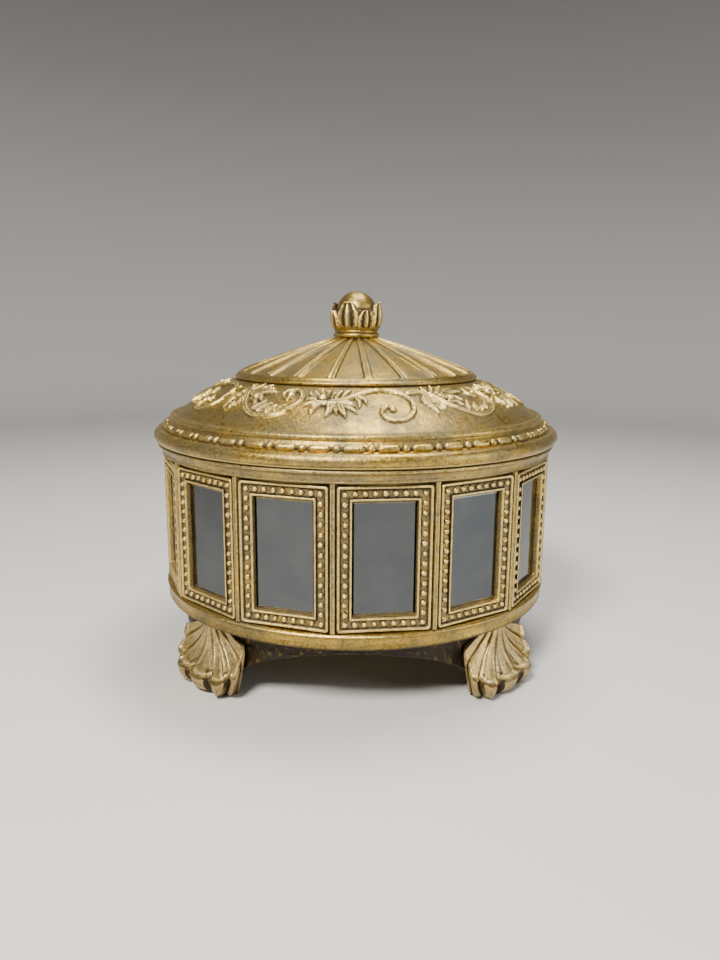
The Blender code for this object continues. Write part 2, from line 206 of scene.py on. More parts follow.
def joinParts(parts):
    # one part from many: the corner numbers of each are shifted past the points before it
    total, joined = 0, {key: [] for key in ("points", "quads", "triangles", "relief", "shade")}
    for part in parts:
        for key in joined:
            shift = total if key in ("quads", "triangles") else 0
            joined[key].append(part[key] + shift)
        total += len(part["points"])
    return {key: np.concatenate(value) for key, value in joined.items()}


def turnPart(part, angle):
    # the part turned about Z: row points times the transposed rotation
    turned = dict(part)
    c, s = math.cos(angle), math.sin(angle)
    turned["points"] = part["points"] @ np.array([[c, s, 0], [-s, c, 0], [0, 0, 1]])
    return turned


def makePiece(name, parts, material, body, replaced=(), sharpDegrees=50):
    # writes the joined parts into one mesh, in metres, with their relief and shade as attributes
    part = joinParts(parts)
    mesh = bpy.data.meshes.new(name)
    mesh.vertices.add(len(part["points"]))
    mesh.vertices.foreach_set("co", (part["points"] * millimetre).ravel())
    corners = np.concatenate([part["quads"].ravel(), part["triangles"].ravel()])
    mesh.loops.add(len(corners))
    mesh.loops.foreach_set("vertex_index", corners.astype(np.int32))
    quadCount, triangleCount = len(part["quads"]), len(part["triangles"])
    starts = np.concatenate([4 * np.arange(quadCount), 4 * quadCount + 3 * np.arange(triangleCount)])
    mesh.polygons.add(len(starts))
    mesh.polygons.foreach_set("loop_start", starts.astype(np.int32))
    mesh.update(calc_edges=True)
    for key in ("relief", "shade"):
        layer = mesh.attributes.new(key, "FLOAT", "POINT")
        layer.data.foreach_set("value", part[key].astype(np.float32))
    mesh.validate()
    mesh.shade_smooth()
    mesh.set_sharp_from_angle(angle=math.radians(sharpDegrees))
    mesh.materials.append(material)
    piece = bpy.data.objects.new(name, mesh)
    bpy.context.scene.collection.objects.link(piece)
    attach(piece, body)
    if replaced:
        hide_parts(*replaced)
    print("%s: %d triangles" % (name, 2 * quadCount + triangleCount))
    return piece


def srgb(red, green, blue):
    # display values of 0 to 255 as linear colour
    value = np.array([red, green, blue]) / 255
    linear = np.where(value <= 0.04045, value / 12.92, ((value + 0.055) / 1.055) ** 2.4)
    return (*[float(v) for v in linear], 1.0)


def newGroup(name, inputs, outputs):
    # a shared effect: each input has a label, a kind of socket and a value, each output a label and kind
    group = bpy.data.node_groups.new(name, "ShaderNodeTree")
    for label, kind, value in inputs:
        socket = group.interface.new_socket(name=label, in_out="INPUT", socket_type=kind)
        socket.default_value = value
    for label, kind in outputs:
        group.interface.new_socket(name=label, in_out="OUTPUT", socket_type=kind)
    start = group.nodes.new("NodeGroupInput")
    end = group.nodes.new("NodeGroupOutput")
    return group, start, end


def addNode(tree, kind, links=(), **settings):
    # a node with its settings, and its inputs set or linked by name or number
    node = tree.nodes.new(kind)
    for key, value in settings.items():
        setattr(node, key, value)
    for label, value in links:
        if isinstance(value, bpy.types.NodeSocket):
            tree.links.new(value, node.inputs[label])
        else:
            node.inputs[label].default_value = value
    return node


def mathNode(tree, operation, a, b=0.0):
    # one arithmetic step on two values or sockets
    node = addNode(tree, "ShaderNodeMath", [(0, a), (1, b)], operation=operation)
    return node.outputs[0]


def stepNode(tree, value, low, high):
    # smooth step from 0 at low to 1 at high
    node = addNode(tree, "ShaderNodeMapRange", [("Value", value), ("From Min", low), ("From Max", high)],
                   interpolation_type="SMOOTHSTEP")
    return node.outputs["Result"]


def mixNode(tree, factor, a, b):
    # the colour a at factor 0, b at factor 1, in proportion between
    node = addNode(tree, "ShaderNodeMix", data_type="RGBA")
    for socket, value in ((node.inputs[0], factor), (node.inputs[6], a), (node.inputs[7], b)):
        if isinstance(value, bpy.types.NodeSocket):
            tree.links.new(value, socket)
        else:
            socket.default_value = value
    return node.outputs[2]


def noiseNode(tree, place, scale, detail=3.0, roughness=0.6):
    # cloudy noise from 0 to 1, about scale clouds to the metre
    node = addNode(tree, "ShaderNodeTexNoise", [("Vector", place), ("Scale", scale),
                                                ("Detail", detail), ("Roughness", roughness)])
    return node.outputs["Fac"]


def buildGildingAndPaintedLightGroup():
    # gilding rubbed back over dark paint, with painted light: ridges bright as rubbed gilding and painted
    # highlight, hollows dark as patina and painted shade, blotched between
    group, start, end = newGroup("rubbedGildingAndPaintedLight", [
        ("Bright", "NodeSocketColor", srgb(246, 218, 132)),
        ("Field", "NodeSocketColor", srgb(184, 153, 74)),
        ("Patina", "NodeSocketColor", srgb(120, 106, 68)),
        ("Dark", "NodeSocketColor", srgb(42, 31, 14)),
        ("Blotch", "NodeSocketFloat", 0.5),
        ("Wear", "NodeSocketFloat", 0.0),
    ], [("Color", "NodeSocketColor"), ("Roughness", "NodeSocketFloat"),
        ("Metallic", "NodeSocketFloat"), ("Height", "NodeSocketFloat")])
    place = addNode(group, "ShaderNodeTexCoord").outputs["Object"]
    relief = addNode(group, "ShaderNodeAttribute", attribute_name="relief").outputs["Fac"]
    shade = addNode(group, "ShaderNodeAttribute", attribute_name="shade").outputs["Fac"]
    cloud = noiseNode(group, place, 75.0, 5.0, 0.62)
    mottle = noiseNode(group, place, 420.0, 4.0, 0.65)
    grain = noiseNode(group, place, 1050.0, 3.0, 0.75)
    rough = mathNode(group, "ADD", mathNode(group, "MULTIPLY", mottle, 0.5),
                     mathNode(group, "MULTIPLY", grain, 0.5))
    broken = mathNode(group, "ADD", relief, mathNode(group, "MULTIPLY",
                      mathNode(group, "SUBTRACT", rough, 0.5), 0.60))
    # ridges painted bright, as rubbed gilding and painted highlight; the wear input widens the painted
    # highlight
    bright = stepNode(group, mathNode(group, "ADD", broken, start.outputs["Wear"]), 0.53, 0.86)
    # hollows painted dark, as patina and painted shade; the shade attribute darkens its parts the same way
    hollow = mathNode(group, "SUBTRACT", 1.0, stepNode(group, broken, 0.16, 0.46))
    hollow = mathNode(group, "MAXIMUM", hollow, shade)
    blotch = mathNode(group, "ADD", mathNode(group, "MULTIPLY", cloud, 0.7),
                      mathNode(group, "MULTIPLY", rough, 0.5))
    blotch = mathNode(group, "ADD", blotch, mathNode(group, "MULTIPLY",
                      mathNode(group, "SUBTRACT", start.outputs["Blotch"], 0.5), 0.5))
    patina = stepNode(group, blotch, 0.50, 0.70)
    color = mixNode(group, patina, start.outputs["Field"], start.outputs["Patina"])
    speck = stepNode(group, grain, 0.38, 0.50)
    color = mixNode(group, mathNode(group, "MULTIPLY", mathNode(group, "SUBTRACT", 1.0, speck), 0.55),
                    color, start.outputs["Dark"])
    color = mixNode(group, bright, color, start.outputs["Bright"])
    color = mixNode(group, hollow, color, start.outputs["Dark"])
    roughness = mathNode(group, "ADD", 0.27, mathNode(group, "MULTIPLY", patina, 0.12))
    roughness = mathNode(group, "ADD", roughness, mathNode(group, "MULTIPLY", hollow, 0.2))
    roughness = mathNode(group, "ADD", roughness, mathNode(group, "MULTIPLY", grain, 0.08))
    metallic = mathNode(group, "SUBTRACT", 0.97, mathNode(group, "MULTIPLY", hollow, 0.45))
    metallic = mathNode(group, "SUBTRACT", metallic, mathNode(group, "MULTIPLY", patina, 0.18))
    height = mathNode(group, "ADD", mathNode(group, "MULTIPLY", mottle, 0.55),
                      mathNode(group, "MULTIPLY", grain, 0.45))
    for label, value in (("Color", color), ("Roughness", roughness), ("Metallic", metallic),
                         ("Height", height)):
        group.links.new(value, end.inputs[label])
    return group


def newMaterial(name):
    # an empty finish with its node tree and shader
    material = bpy.data.materials.new(name)
    material.use_nodes = True
    return material, material.node_tree, material.node_tree.nodes["Principled BSDF"]


def gildedMaterial(name, bumpHeight=0.00036, **values):
    # the shared gilding with this piece's own colours, wear and painted highlight
    material, tree, shader = newMaterial(name)
    gilding = addNode(tree, "ShaderNodeGroup", node_tree=gildingAndPaintedLightGroup)
    for label, value in values.items():
        gilding.inputs[label].default_value = value
    bump = addNode(tree, "ShaderNodeBump", [("Height", gilding.outputs["Height"]),
                                            ("Strength", 1.0), ("Distance", bumpHeight)])
    tree.links.new(gilding.outputs["Color"], shader.inputs["Base Color"])
    tree.links.new(gilding.outputs["Roughness"], shader.inputs["Roughness"])
    tree.links.new(gilding.outputs["Metallic"], shader.inputs["Metallic"])
    tree.links.new(bump.outputs["Normal"], shader.inputs["Normal"])
    return material


def mirrorMaterial():
    # silvered glass, toned dark partly as smoky glass and partly as a painted reflection of dark
    # surroundings, with faint smears and dust that change its gloss
    material, tree, shader = newMaterial("silveredGlass")
    place = addNode(tree, "ShaderNodeTexCoord").outputs["Object"]
    smear = noiseNode(tree, place, 90.0, 4.0, 0.6)
    dust = noiseNode(tree, place, 2600.0, 2.0, 0.5)
    gloss = mathNode(tree, "MULTIPLY", stepNode(tree, smear, 0.5, 0.75), 0.05)
    dusty = mathNode(tree, "MULTIPLY", stepNode(tree, dust, 0.66, 0.72), 0.12)
    gloss = mathNode(tree, "ADD", gloss, dusty)
    # the ground bevels scatter more light than the flat through roughness, and are painted near white as a
    # painted highlight: the upper and lower ones lean up and down
    normal = addNode(tree, "ShaderNodeNewGeometry").outputs["Normal"]
    leaning = addNode(tree, "ShaderNodeSeparateXYZ", [(0, normal)])
    bevel = stepNode(tree, mathNode(tree, "ABSOLUTE", leaning.outputs["Z"]), 0.15, 0.30)
    gloss = mathNode(tree, "ADD", gloss, mathNode(tree, "MULTIPLY", bevel, 0.35))
    tree.links.new(mathNode(tree, "ADD", gloss, 0.02), shader.inputs["Roughness"])
    # the dark tint is partly a painted reflection; the bevels are mixed to near white as a painted highlight
    tint = mixNode(tree, smear, srgb(74, 78, 82), srgb(96, 99, 100))
    tint = mixNode(tree, bevel, tint, srgb(232, 232, 226))
    tree.links.new(tint, shader.inputs["Base Color"])
    shader.inputs["Metallic"].default_value = 1.0
    return material


def velvetMaterial():
    # short pile: dark ground, soft sheen, and brushed patches that lie one way or the other
    material, tree, shader = newMaterial("linedVelvet")
    place = addNode(tree, "ShaderNodeTexCoord").outputs["Object"]
    brushed = noiseNode(tree, place, 45.0, 3.0, 0.55)
    pile = noiseNode(tree, place, 2400.0, 2.0, 0.7)
    tone = mathNode(tree, "ADD", mathNode(tree, "MULTIPLY", brushed, 0.75),
                    mathNode(tree, "MULTIPLY", pile, 0.35))
    color = mixNode(tree, stepNode(tree, tone, 0.38, 0.72), srgb(26, 20, 20), srgb(58, 48, 46))
    bump = addNode(tree, "ShaderNodeBump", [("Height", pile), ("Strength", 0.6), ("Distance", 0.0003)])
    tree.links.new(color, shader.inputs["Base Color"])
    tree.links.new(bump.outputs["Normal"], shader.inputs["Normal"])
    shader.inputs["Roughness"].default_value = 0.95
    shader.inputs["Sheen Weight"].default_value = 0.6
    shader.inputs["Sheen Roughness"].default_value = 0.4
    return material


def steelMaterial():
    # zinc-plated steel with fine scratches and a little dulling
    material, tree, shader = newMaterial("platedSteel")
    place = addNode(tree, "ShaderNodeTexCoord").outputs["Object"]
    dull = noiseNode(tree, place, 600.0, 4.0, 0.6)
    color = mixNode(tree, dull, srgb(150, 148, 142), srgb(196, 194, 188))
    tree.links.new(color, shader.inputs["Base Color"])
    roughness = mathNode(tree, "ADD", mathNode(tree, "MULTIPLY", dull, 0.3), 0.2)
    tree.links.new(roughness, shader.inputs["Roughness"])
    bump = addNode(tree, "ShaderNodeBump", [("Height", dull), ("Strength", 0.4), ("Distance", 0.00005)])
    tree.links.new(bump.outputs["Normal"], shader.inputs["Normal"])
    shader.inputs["Metallic"].default_value = 1.0
    return material


gildingAndPaintedLightGroup = buildGildingAndPaintedLightGroup()
lidGilding = gildedMaterial("lidGilding", Blotch=0.50)
drumGilding = gildedMaterial("drumGilding", Blotch=0.54, Patina=srgb(138, 122, 84),
                             Field=srgb(186, 158, 88))
baseGilding = gildedMaterial("baseGilding", Blotch=0.42, Dark=srgb(30, 20, 10), bumpHeight=0.0004)
footGilding = gildedMaterial("footGilding", Blotch=0.46, Field=srgb(206, 176, 108),
                             Patina=srgb(164, 144, 100), Bright=srgb(252, 230, 158), Wear=0.02)
mirrorGlass = mirrorMaterial()
velvet = velvetMaterial()
steel = steelMaterial()
print("finishes ready")


drumShape = {
    "panelCount": 14,
    "panelTurn": math.radians(20.3),
    "faceApothem": 82.8,        # axis to the front of a frame's fillets
    "wallApothem": 78.3,        # axis to the wall behind the mirrors
    "boreRadius": 73.6,
    "frameHalfWidth": 17.2,
    "openingHalfWidth": 11.7,
    "openingHalfHeight": 21.4,
    "beadsAcross": 9,
    "beadsUp": 14,
    "beadInset": 2.85,          # frame's outer edge to the beads' centres
    "beadRadius": 1.2,
    "channelDepth": 0.95,
    "floorThickness": 5.0,
    "rimHeight": 4.3,
    "cornerRound": 1.1,
}


def panelAngle(index):
    # equal steps round the drum from the first panel's own turn
    return drumShape["panelTurn"] + index * tau / drumShape["panelCount"]


def onPanel(u, h, z, angle):
    # u sideways on the panel, h out from the axis along its normal, z up
    return np.stack([h * np.cos(angle) - u * np.sin(angle),
                     h * np.sin(angle) + u * np.cos(angle), z + 0 * u], -1)


def frameOutline(halfWidth, halfHeight, corner, count):
    # a rectangle with round corners as (sideways, up) points, the same count on every side
    sides = []
    for turn in range(4):
        a, b = (halfWidth, halfHeight) if turn % 2 == 0 else (halfHeight, halfWidth)
        arc = arcPoints((a - corner, b - corner), corner, 0, 90, 7)
        run = np.stack([np.linspace(a - corner, -a + corner, count)[1:-1], np.full(count - 2, b)], -1)
        side = np.vstack([arc, run])
        for _ in range(turn):
            side = np.stack([-side[:, 1], side[:, 0]], -1)
        sides.append(side)
    return np.vstack(sides)


def framePart(angle, middle):
    # a profile of (distance in from the edge, height off the axis) carried round the rectangle
    s = drumShape
    face, wall = s["faceApothem"], s["wallApothem"]
    channel = face - s["channelDepth"]
    margin = s["frameHalfWidth"] - s["openingHalfWidth"]
    halfHeight = s["openingHalfHeight"] + margin
    profile = np.vstack([
        [[0.0, wall], [0.0, channel - 0.7]],
        arcPoints((0.5, face - 0.5), 0.5, 180, 40, 6),
        [[1.15, channel + 0.2]],
        bowedLine((1.35, channel), (margin - 1.15, channel), -0.10, 6),
        [[margin - 1.10, channel + 0.25]],
        arcPoints((margin - 0.62, face - 0.45), 0.45, 150, 20, 6),
        [[margin - 0.02, face - 1.2], [margin + 0.1, face - 2.05]],
        [[margin - 0.5, face - 2.15], [margin - 0.5, wall]],
    ])
    rows = []
    for inward in profile[:, 0]:
        corner = max(s["cornerRound"] - 0.5 * inward, 0.35)
        rows.append(frameOutline(s["frameHalfWidth"] - inward, halfHeight - inward, corner, 16))
    u, z = np.moveaxis(np.array(rows), -1, 0)
    h = profile[:, 1:] + 0.06 * np.sin(u * 0.9 + angle * 7) * np.sin(z * 0.7 + angle * 3)
    points = onPanel(u, h, middle + z, angle)
    inward = profile[:, 0]
    # fillet tops painted bright as rubbed gilding and painted highlight; the grooves beside the fillets and
    # the wall behind painted dark as painted shade
    relief = np.select([profile[:, 1] > channel + 0.45, inward > margin - 0.1], [0.72, 0.40], 0.36)
    relief[(inward > 1.0) & (inward < 1.4)] = 0.18
    relief[(inward > margin - 1.3) & (inward < margin - 0.9)] = 0.18
    relief[:2] = 0.20
    return gridPart(points, True, True, relief=relief[:, None])


def beadBase(columns, rows):
    # a unit ball with its poles on Z
    polar = np.linspace(0, np.pi, rows + 2)[1:-1, None]
    theta = np.linspace(0, tau, columns, endpoint=False)
    points = np.stack([np.sin(polar) * np.cos(theta), np.sin(polar) * np.sin(theta),
                       np.cos(polar) + 0 * theta], -1)
    top, bottom = np.array([0, 0, 1.0]), np.array([0, 0, -1.0])
    return gridPart(points, False, True, top, bottom, relief=0.5)


def frameBeads(middle, seed):
    # beads at even steps along the four sides of each channel, each a little off true
    s = drumShape
    margin = s["frameHalfWidth"] - s["openingHalfWidth"]
    halfWidth = s["frameHalfWidth"] - s["beadInset"]
    halfHeight = s["openingHalfHeight"] + margin - s["beadInset"]
    across = np.linspace(-halfWidth, halfWidth, s["beadsAcross"])
    up = np.linspace(-halfHeight, halfHeight, s["beadsUp"])[1:-1]
    u = np.concatenate([across, across, np.full(len(up), -halfWidth), np.full(len(up), halfWidth)])
    z = np.concatenate([np.full(len(across), -halfHeight), np.full(len(across), halfHeight), up, up])
    random = np.random.default_rng(seed)
    base = beadBase(10, 5)
    # painted highlight on the bead's outer side, painted shade where the bead meets the channel
    relief = 0.16 + 0.66 * (base["points"][:, 2] + 0.35) / 1.35
    parts = []
    for index in range(s["panelCount"]):
        angle = panelAngle(index)
        shiftU, shiftZ = random.normal(0, 0.07, (2, len(u)))
        height = s["faceApothem"] - s["channelDepth"] - 0.1
        centres = onPanel(u + shiftU, np.full(len(u), height), middle + z + shiftZ, angle)
        cosine, sine = math.cos(angle), math.sin(angle)
        axes = np.array([[-sine, 0, cosine], [cosine, 0, sine], [0, 1, 0]])
        frames = np.broadcast_to(axes, (len(u), 3, 3))
        scales = s["beadRadius"] * random.normal(1, 0.05, (len(u), 1)) * np.ones(3)
        parts.append(scatterPart(base, centres, frames, scales, np.clip(relief, 0, 1)))
    return parts


def prismPart(outline, levels, angle, relief):
    # a closed outline of (sideways, outwards) points carried down through the levels
    u, h = outline[:, 0], outline[:, 1]
    z = np.array(levels, float)[:, None]
    points = onPanel(u + 0 * z, h + 0 * z, z, angle)
    poles = [onPanel(u.mean(), h.mean(), np.array(level), angle) for level in (levels[0], levels[-1])]
    return gridPart(points, False, True, poles[0], poles[1], relief=relief)


def dividerPart(angle, bottom, top):
    # a flat-topped ridge between two grooves, on the corner between two panels
    corner = drumShape["faceApothem"] / math.cos(math.pi / drumShape["panelCount"])
    u = np.linspace(-2.4, 2.4, 33)
    ridge = smoothStep(1.15, 0.70, np.abs(u))
    h = corner - 1.75 + 1.45 * ridge - 0.10 * u ** 2 * ridge - 0.20 * np.abs(u) * (1 - ridge)
    outline = np.vstack([np.stack([u, h], -1), [[2.4, corner - 8], [-2.4, corner - 8]]])
    # the ridge and two lines along its edges painted brighter as painted highlight, the grooves beside it
    # painted darker as painted shade
    relief = np.concatenate([0.20 + 0.36 * ridge + 0.12 * (np.abs(np.abs(u) - 0.7) < 0.25), [0.2, 0.2]])
    return prismPart(outline, np.linspace(top, bottom, 14), angle, relief)


def drumWall():
    # a flat-sided outside and a round bore with a floor, as one turned loop
    s = drumShape
    theta = np.linspace(0, tau, 280, endpoint=False)
    fold = (theta - s["panelTurn"] + math.pi / s["panelCount"]) % (tau / s["panelCount"])
    flat = s["wallApothem"] / np.cos(fold - math.pi / s["panelCount"])
    low, high, floor = drumLow[2] + 0.05, drumHigh[2] - 0.6, drumLow[2] + s["floorThickness"]
    middleRing, bore = 30 + 0 * theta, s["boreRadius"] + 0 * theta
    radii = [middleRing, flat, flat, bore, bore, middleRing]
    heights = [low, low, high, high, floor, floor]
    points = np.stack([np.stack([r * np.cos(theta), r * np.sin(theta), z + 0 * theta], -1)
                       for r, z in zip(radii, heights)])
    under, over = np.array([0, 0, low]), np.array([0, 0, floor])
    return gridPart(points, False, True, under, over, relief=0.35)


def drumRim():
    # the rim: a half-round band that leans in towards its foot, over a cove above the frames; its top face
    # and its underside over the cove are painted dark as painted shade
    s = drumShape
    top, bottom = drumHigh[2], drumHigh[2] - s["rimHeight"]
    edge = drumHigh[0]
    profile = np.vstack([
        [[s["boreRadius"] - 0.1, top - 0.5], [s["boreRadius"] + 0.4, top]],
        [[edge - 6, top], [edge - 0.9, top - 0.02]],
        arcPoints((edge - 0.85, top - 0.8), 0.8, 80, 5, 6),
        bowedLine((edge - 0.1, top - 1.1), (edge - 1.7, bottom - 0.35), -0.75, 12),
        [[edge - 2.7, bottom - 0.85], [edge - 3.7, bottom - 1.2]],
        [[edge - 4.2, bottom - 2.0], [s["boreRadius"] - 0.1, bottom - 2.0]],
    ])
    # painted shade: a little on the top face under the lid's flange, more on the underside that leans in over
    # the cove
    height = profile[:, 1:]
    shade = 0.35 * smoothStep(top - 0.12, top - 0.02, height)
    shade = shade + 0.8 * smoothStep(bottom + 0.9, bottom - 0.7, height)
    return lathePart(profile, 256, shade=shade, wobble=0.03, times=3, gain=0.8)


def makeDrum():
    # the frames are centred on the mirrors' mid height
    mirrorLow, mirrorHigh = boxMm("mirror_01")
    middle = (mirrorLow[2] + mirrorHigh[2]) / 2
    parts = [drumWall(), drumRim()] + frameBeads(middle, seed=11)
    for index in range(drumShape["panelCount"]):
        angle = panelAngle(index)
        parts.append(framePart(angle, middle))
        corner = angle + math.pi / drumShape["panelCount"]
        parts.append(dividerPart(corner, drumLow[2] + 0.05, drumHigh[2] - drumShape["rimHeight"] - 0.6))
    makePiece("drumCasting", parts, drumGilding, "box", ["drum"])


baseShape = {
    "apronRadius": 77.7,
    "apronBore": 71.7,
    "archHalfWidth": 49.2,
    "archHeight": 22.6,
    "flangeBore": 61.7,
    "flangeThickness": 4.0,
    "mouldingHeight": 6.2,
}


def archHeightAt(theta):
    # half-ellipse over the sideways distance from the nearer of the two cross axes
    s = baseShape
    sideways = s["apronRadius"] * np.minimum(np.abs(np.cos(theta)), np.abs(np.sin(theta)))
    share = np.clip(1 - (sideways / s["archHalfWidth"]) ** 2, 0, 1)
    return np.maximum(ringLow[2], s["archHeight"] * np.sqrt(share))


def makeBaseRing():
    # a moulding on a flange, and an apron under it whose lower edge follows the arches
    s = baseShape
    edge, top = ringHigh[0], ringHigh[2]
    bottom, under = top - s["mouldingHeight"], top - s["flangeThickness"]
    moulding = np.vstack([
        [[s["flangeBore"], top - 0.3], [s["flangeBore"] + 0.3, top], [edge - 4, top]],
        arcPoints((edge - 1.9, top - 1.35), 1.35, 90, 35, 6),
        bowedLine((edge - 0.62, top - 0.85), (edge - 1.25, bottom + 1.1), -0.62, 12),
        arcPoints((edge - 1.75, bottom + 0.55), 0.55, 25, -90, 6),
        [[s["apronRadius"] - 0.5, bottom]],
        [[s["apronBore"], bottom], [s["apronBore"] - 0.5, under]],
        [[s["flangeBore"] + 0.3, under], [s["flangeBore"], under + 0.3]],
    ])
    # the apron: outer face, rounded lower edge that follows the arches, and inner face
    theta = np.linspace(0, tau, 960, endpoint=False)
    lower = archHeightAt(theta)
    outer, inner = s["apronRadius"], s["apronBore"]
    down = np.linspace(0, 1, 16)[:, None]
    heights = [bottom + 0.6 + (lower + 0.6 - bottom - 0.6) * down]
    radii = [np.full_like(heights[0], outer)]
    turn = np.radians(np.linspace(20, 160, 7))[:, None]
    heights.append(lower + 0.6 - 0.6 * np.sin(turn))
    radii.append(((outer + inner) / 2 + (outer - inner) / 2 * np.cos(turn)) + 0 * theta)
    heights.append(lower + 0.6 + (bottom - lower) * down[1:])
    radii.append(np.full_like(heights[-1], inner))
    z, r = np.vstack(heights), np.vstack(radii)
    random = np.random.default_rng(23)
    grain = blurGrid(random.normal(0, 1, z.shape + (1,)), 1, True, True)[..., 0]
    r = r + np.where(r > inner + 3, 0.30 * grain, 0)
    points = np.stack([r * np.cos(theta), r * np.sin(theta), z], -1)
    specks = smoothStep(0.25, 0.9, grain)
    apron = gridPart(points, True, True, relief=0.45, shade=0.97 - 0.32 * specks)
    # the moulding's underside painted dark as painted shade
    shade = 0.85 * smoothStep(bottom + 1.6, bottom + 0.2, moulding[:, 1:])
    parts = [lathePart(moulding, 256, shade=shade, wobble=0.03, times=3, gain=0.8), apron]
    makePiece("baseRing", parts, baseGilding, "box", ["base_ring"])


footShape = {
    # each lobe: fan angle of its middle, reach from the hub, how far out its tip stands
    "lobeAngles": [-61, -45, -26, 0, 26, 45, 61],
    "lobeReach": [20.2, 25.2, 24.0, 22.4, 24.0, 25.2, 20.2],
    "tipRadius": [78.8, 82.0, 86.2, 87.0, 86.2, 82.0, 78.8],
    "edgeAngle": 68,
    "hubHeight": 28.4,
    "hubRadius": 81.6,
    "backRadius": 77.9,
    "lobeDepth": 1.45,
    "halfWidth": 20.5,
    "count": 4,
    "turn": math.radians(45),
}


def footPart():
    # a fan of spoon-shaped lobes from a hub under the ring; each ray of the fan is a closed loop
    s = footShape
    angles = np.array(s["lobeAngles"], float)
    bounds = np.concatenate([[-s["edgeAngle"]], (angles[1:] + angles[:-1]) / 2, [s["edgeAngle"]]])
    fan = [np.linspace(a, b, 25)[:-1] for a, b in zip(bounds[:-1], bounds[1:])]
    fan = np.concatenate(fan + [bounds[-1:]])
    lobe = np.clip(np.searchsorted(bounds, fan, side="right") - 1, 0, len(angles) - 1)
    q = 2 * (fan - bounds[lobe]) / (bounds[lobe + 1] - bounds[lobe]) - 1
    rounded = np.sqrt(1 - 0.98 * q ** 2)
    reach = np.interp(fan, angles, s["lobeReach"]) * (0.86 + 0.14 * rounded)
    tip = np.interp(fan, angles, s["tipRadius"]) - 1.6 * (1 - rounded)
    psi, q, reach, tip = [value[:, None] for value in (np.radians(fan), q, reach, tip)]
    crowded = 0.93 + 0.07 * np.sin(np.linspace(0.15, np.pi / 2, 9))
    t = np.concatenate([np.linspace(0, 0.93, 34), crowded])[None]
    # front: rays leave the hub almost straight down and flare out towards the tips
    y = np.sin(psi) * (reach * (0.25 * t + 0.75 * t ** 1.6) + 3.6 * (1 - t))
    y = s["halfWidth"] * np.tanh(y / s["halfWidth"] * 1.15) / math.tanh(1.15)
    z = s["hubHeight"] - np.cos(psi) * reach * (0.7 * t + 0.3 * t ** 0.6)
    hub = s["hubRadius"] - 3.0 * np.sin(psi) ** 2
    x = hub + (tip - hub) * (0.25 * t + 0.75 * t ** 1.9) - 1.2 * np.sin(np.pi * t) * np.cos(psi)
    groove = np.exp(-((1 - np.abs(q)) / 0.14) ** 2)
    rib = np.exp(-((np.abs(q) - 0.68) / 0.16) ** 2)
    swell = (1 - q ** 2) * smoothStep(0.45, 0.9, t)
    dish = 0.30 * rib - 1.25 * groove + 0.95 * swell - 0.14 * np.exp(-((np.abs(q) - 0.52) / 0.08) ** 2)
    lip = 0.70 * np.exp(-((t - 0.970) / 0.022) ** 2) - 0.55 * np.exp(-((t - 0.915) / 0.028) ** 2)
    fade = smoothStep(0.0, 0.25, t) * (0.50 + 0.50 * t)
    # the carving stands off along a direction that turns sideways with the fan
    carve = s["lobeDepth"] * (dish + lip * (1 - groove)) * fade
    turnOut = np.radians(np.clip(np.abs(np.degrees(psi)) * 1.15, 0, 72)) * np.sign(psi)
    x = x + carve * np.cos(turnOut)
    y = y + 0.6 * carve * np.sin(turnOut)
    # below the tips: a toe face that leans in, then the sole, which is much narrower than the fan
    xTip, yTip, zTip = x[:, -1:], y[:, -1:], z[:, -1:]
    side = smoothStep(6.0, 17.0, np.abs(yTip))
    v = np.linspace(0.06, 1, 14)[None]
    puff = np.sin(np.pi * v) ** 0.6 * (0.35 * rounded[:, None] - 0.9 * groove)
    xUnder = xTip - 0.2 - 3.8 * v ** 2.6 * (1 - 0.3 * side) + puff
    yUnder = yTip * (1 - (0.03 + 0.36 * side) * v ** 1.7) * (1 - 0.04 * groove)
    zUnder = zTip * (1 - v) + 0.02
    back = np.linspace(0, 1, 8)[None]
    xBack = xUnder[:, -1:] + (s["backRadius"] - 3 - xUnder[:, -1:]) * np.minimum(back * 2.5, 1)
    climb = np.clip(back * 1.6 - 0.6, 0, 1)
    yBack = yUnder[:, -1:] + (y[:, :1] - yUnder[:, -1:]) * climb
    zBack = 0.02 + (s["hubHeight"] - 1.2) * climb
    x, y = np.hstack([x, xUnder, xBack]), np.hstack([y, yUnder, yBack])
    z = np.hstack([z, zUnder, zBack + 0 * yBack])
    # the back leans on the apron's round outside, the top stays under the ring's moulding
    x = np.maximum(x, np.sqrt(np.maximum(s["backRadius"] ** 2 - y ** 2, 0)))
    z = np.clip(z, 0, ringHigh[2] - baseShape["mouldingHeight"] + 0.6)
    points = np.stack([x, y, z], -1)
    front = np.arange(x.shape[1]) < t.size
    # the fan's front a little brighter and its grooves darker, as rubbed gilding, patina and painted light;
    # the toe faces and sole, which face down, and the back against the apron painted dark as painted shade
    relief = gridRelief(points, False, True, 4, 1.3)
    relief = np.where(front, relief + 0.06 - 0.30 * groove, np.minimum(relief, 0.50))
    shade = np.zeros(relief.shape)
    shade[:, t.size:] = 0.25 * side + 0.20 * groove
    shade[:, t.size + v.size:] = 0.6
    shade[:, :t.size] = 0.40 * groove
    middlePoint = points.mean(axis=1)
    return gridPart(points, False, True, middlePoint[0], middlePoint[-1], relief=np.clip(relief, 0, 1),
                    shade=np.clip(shade, 0, 1))


def makeFeet():
    # four copies of one foot, a quarter turn apart
    foot = footPart()
    for index in range(footShape["count"]):
        angle = footShape["turn"] + index * tau / footShape["count"]
        makePiece("pawFoot%d" % (index + 1), [turnPart(foot, angle)], footGilding, "box",
                  ["paw_foot_%d" % (index + 1)])


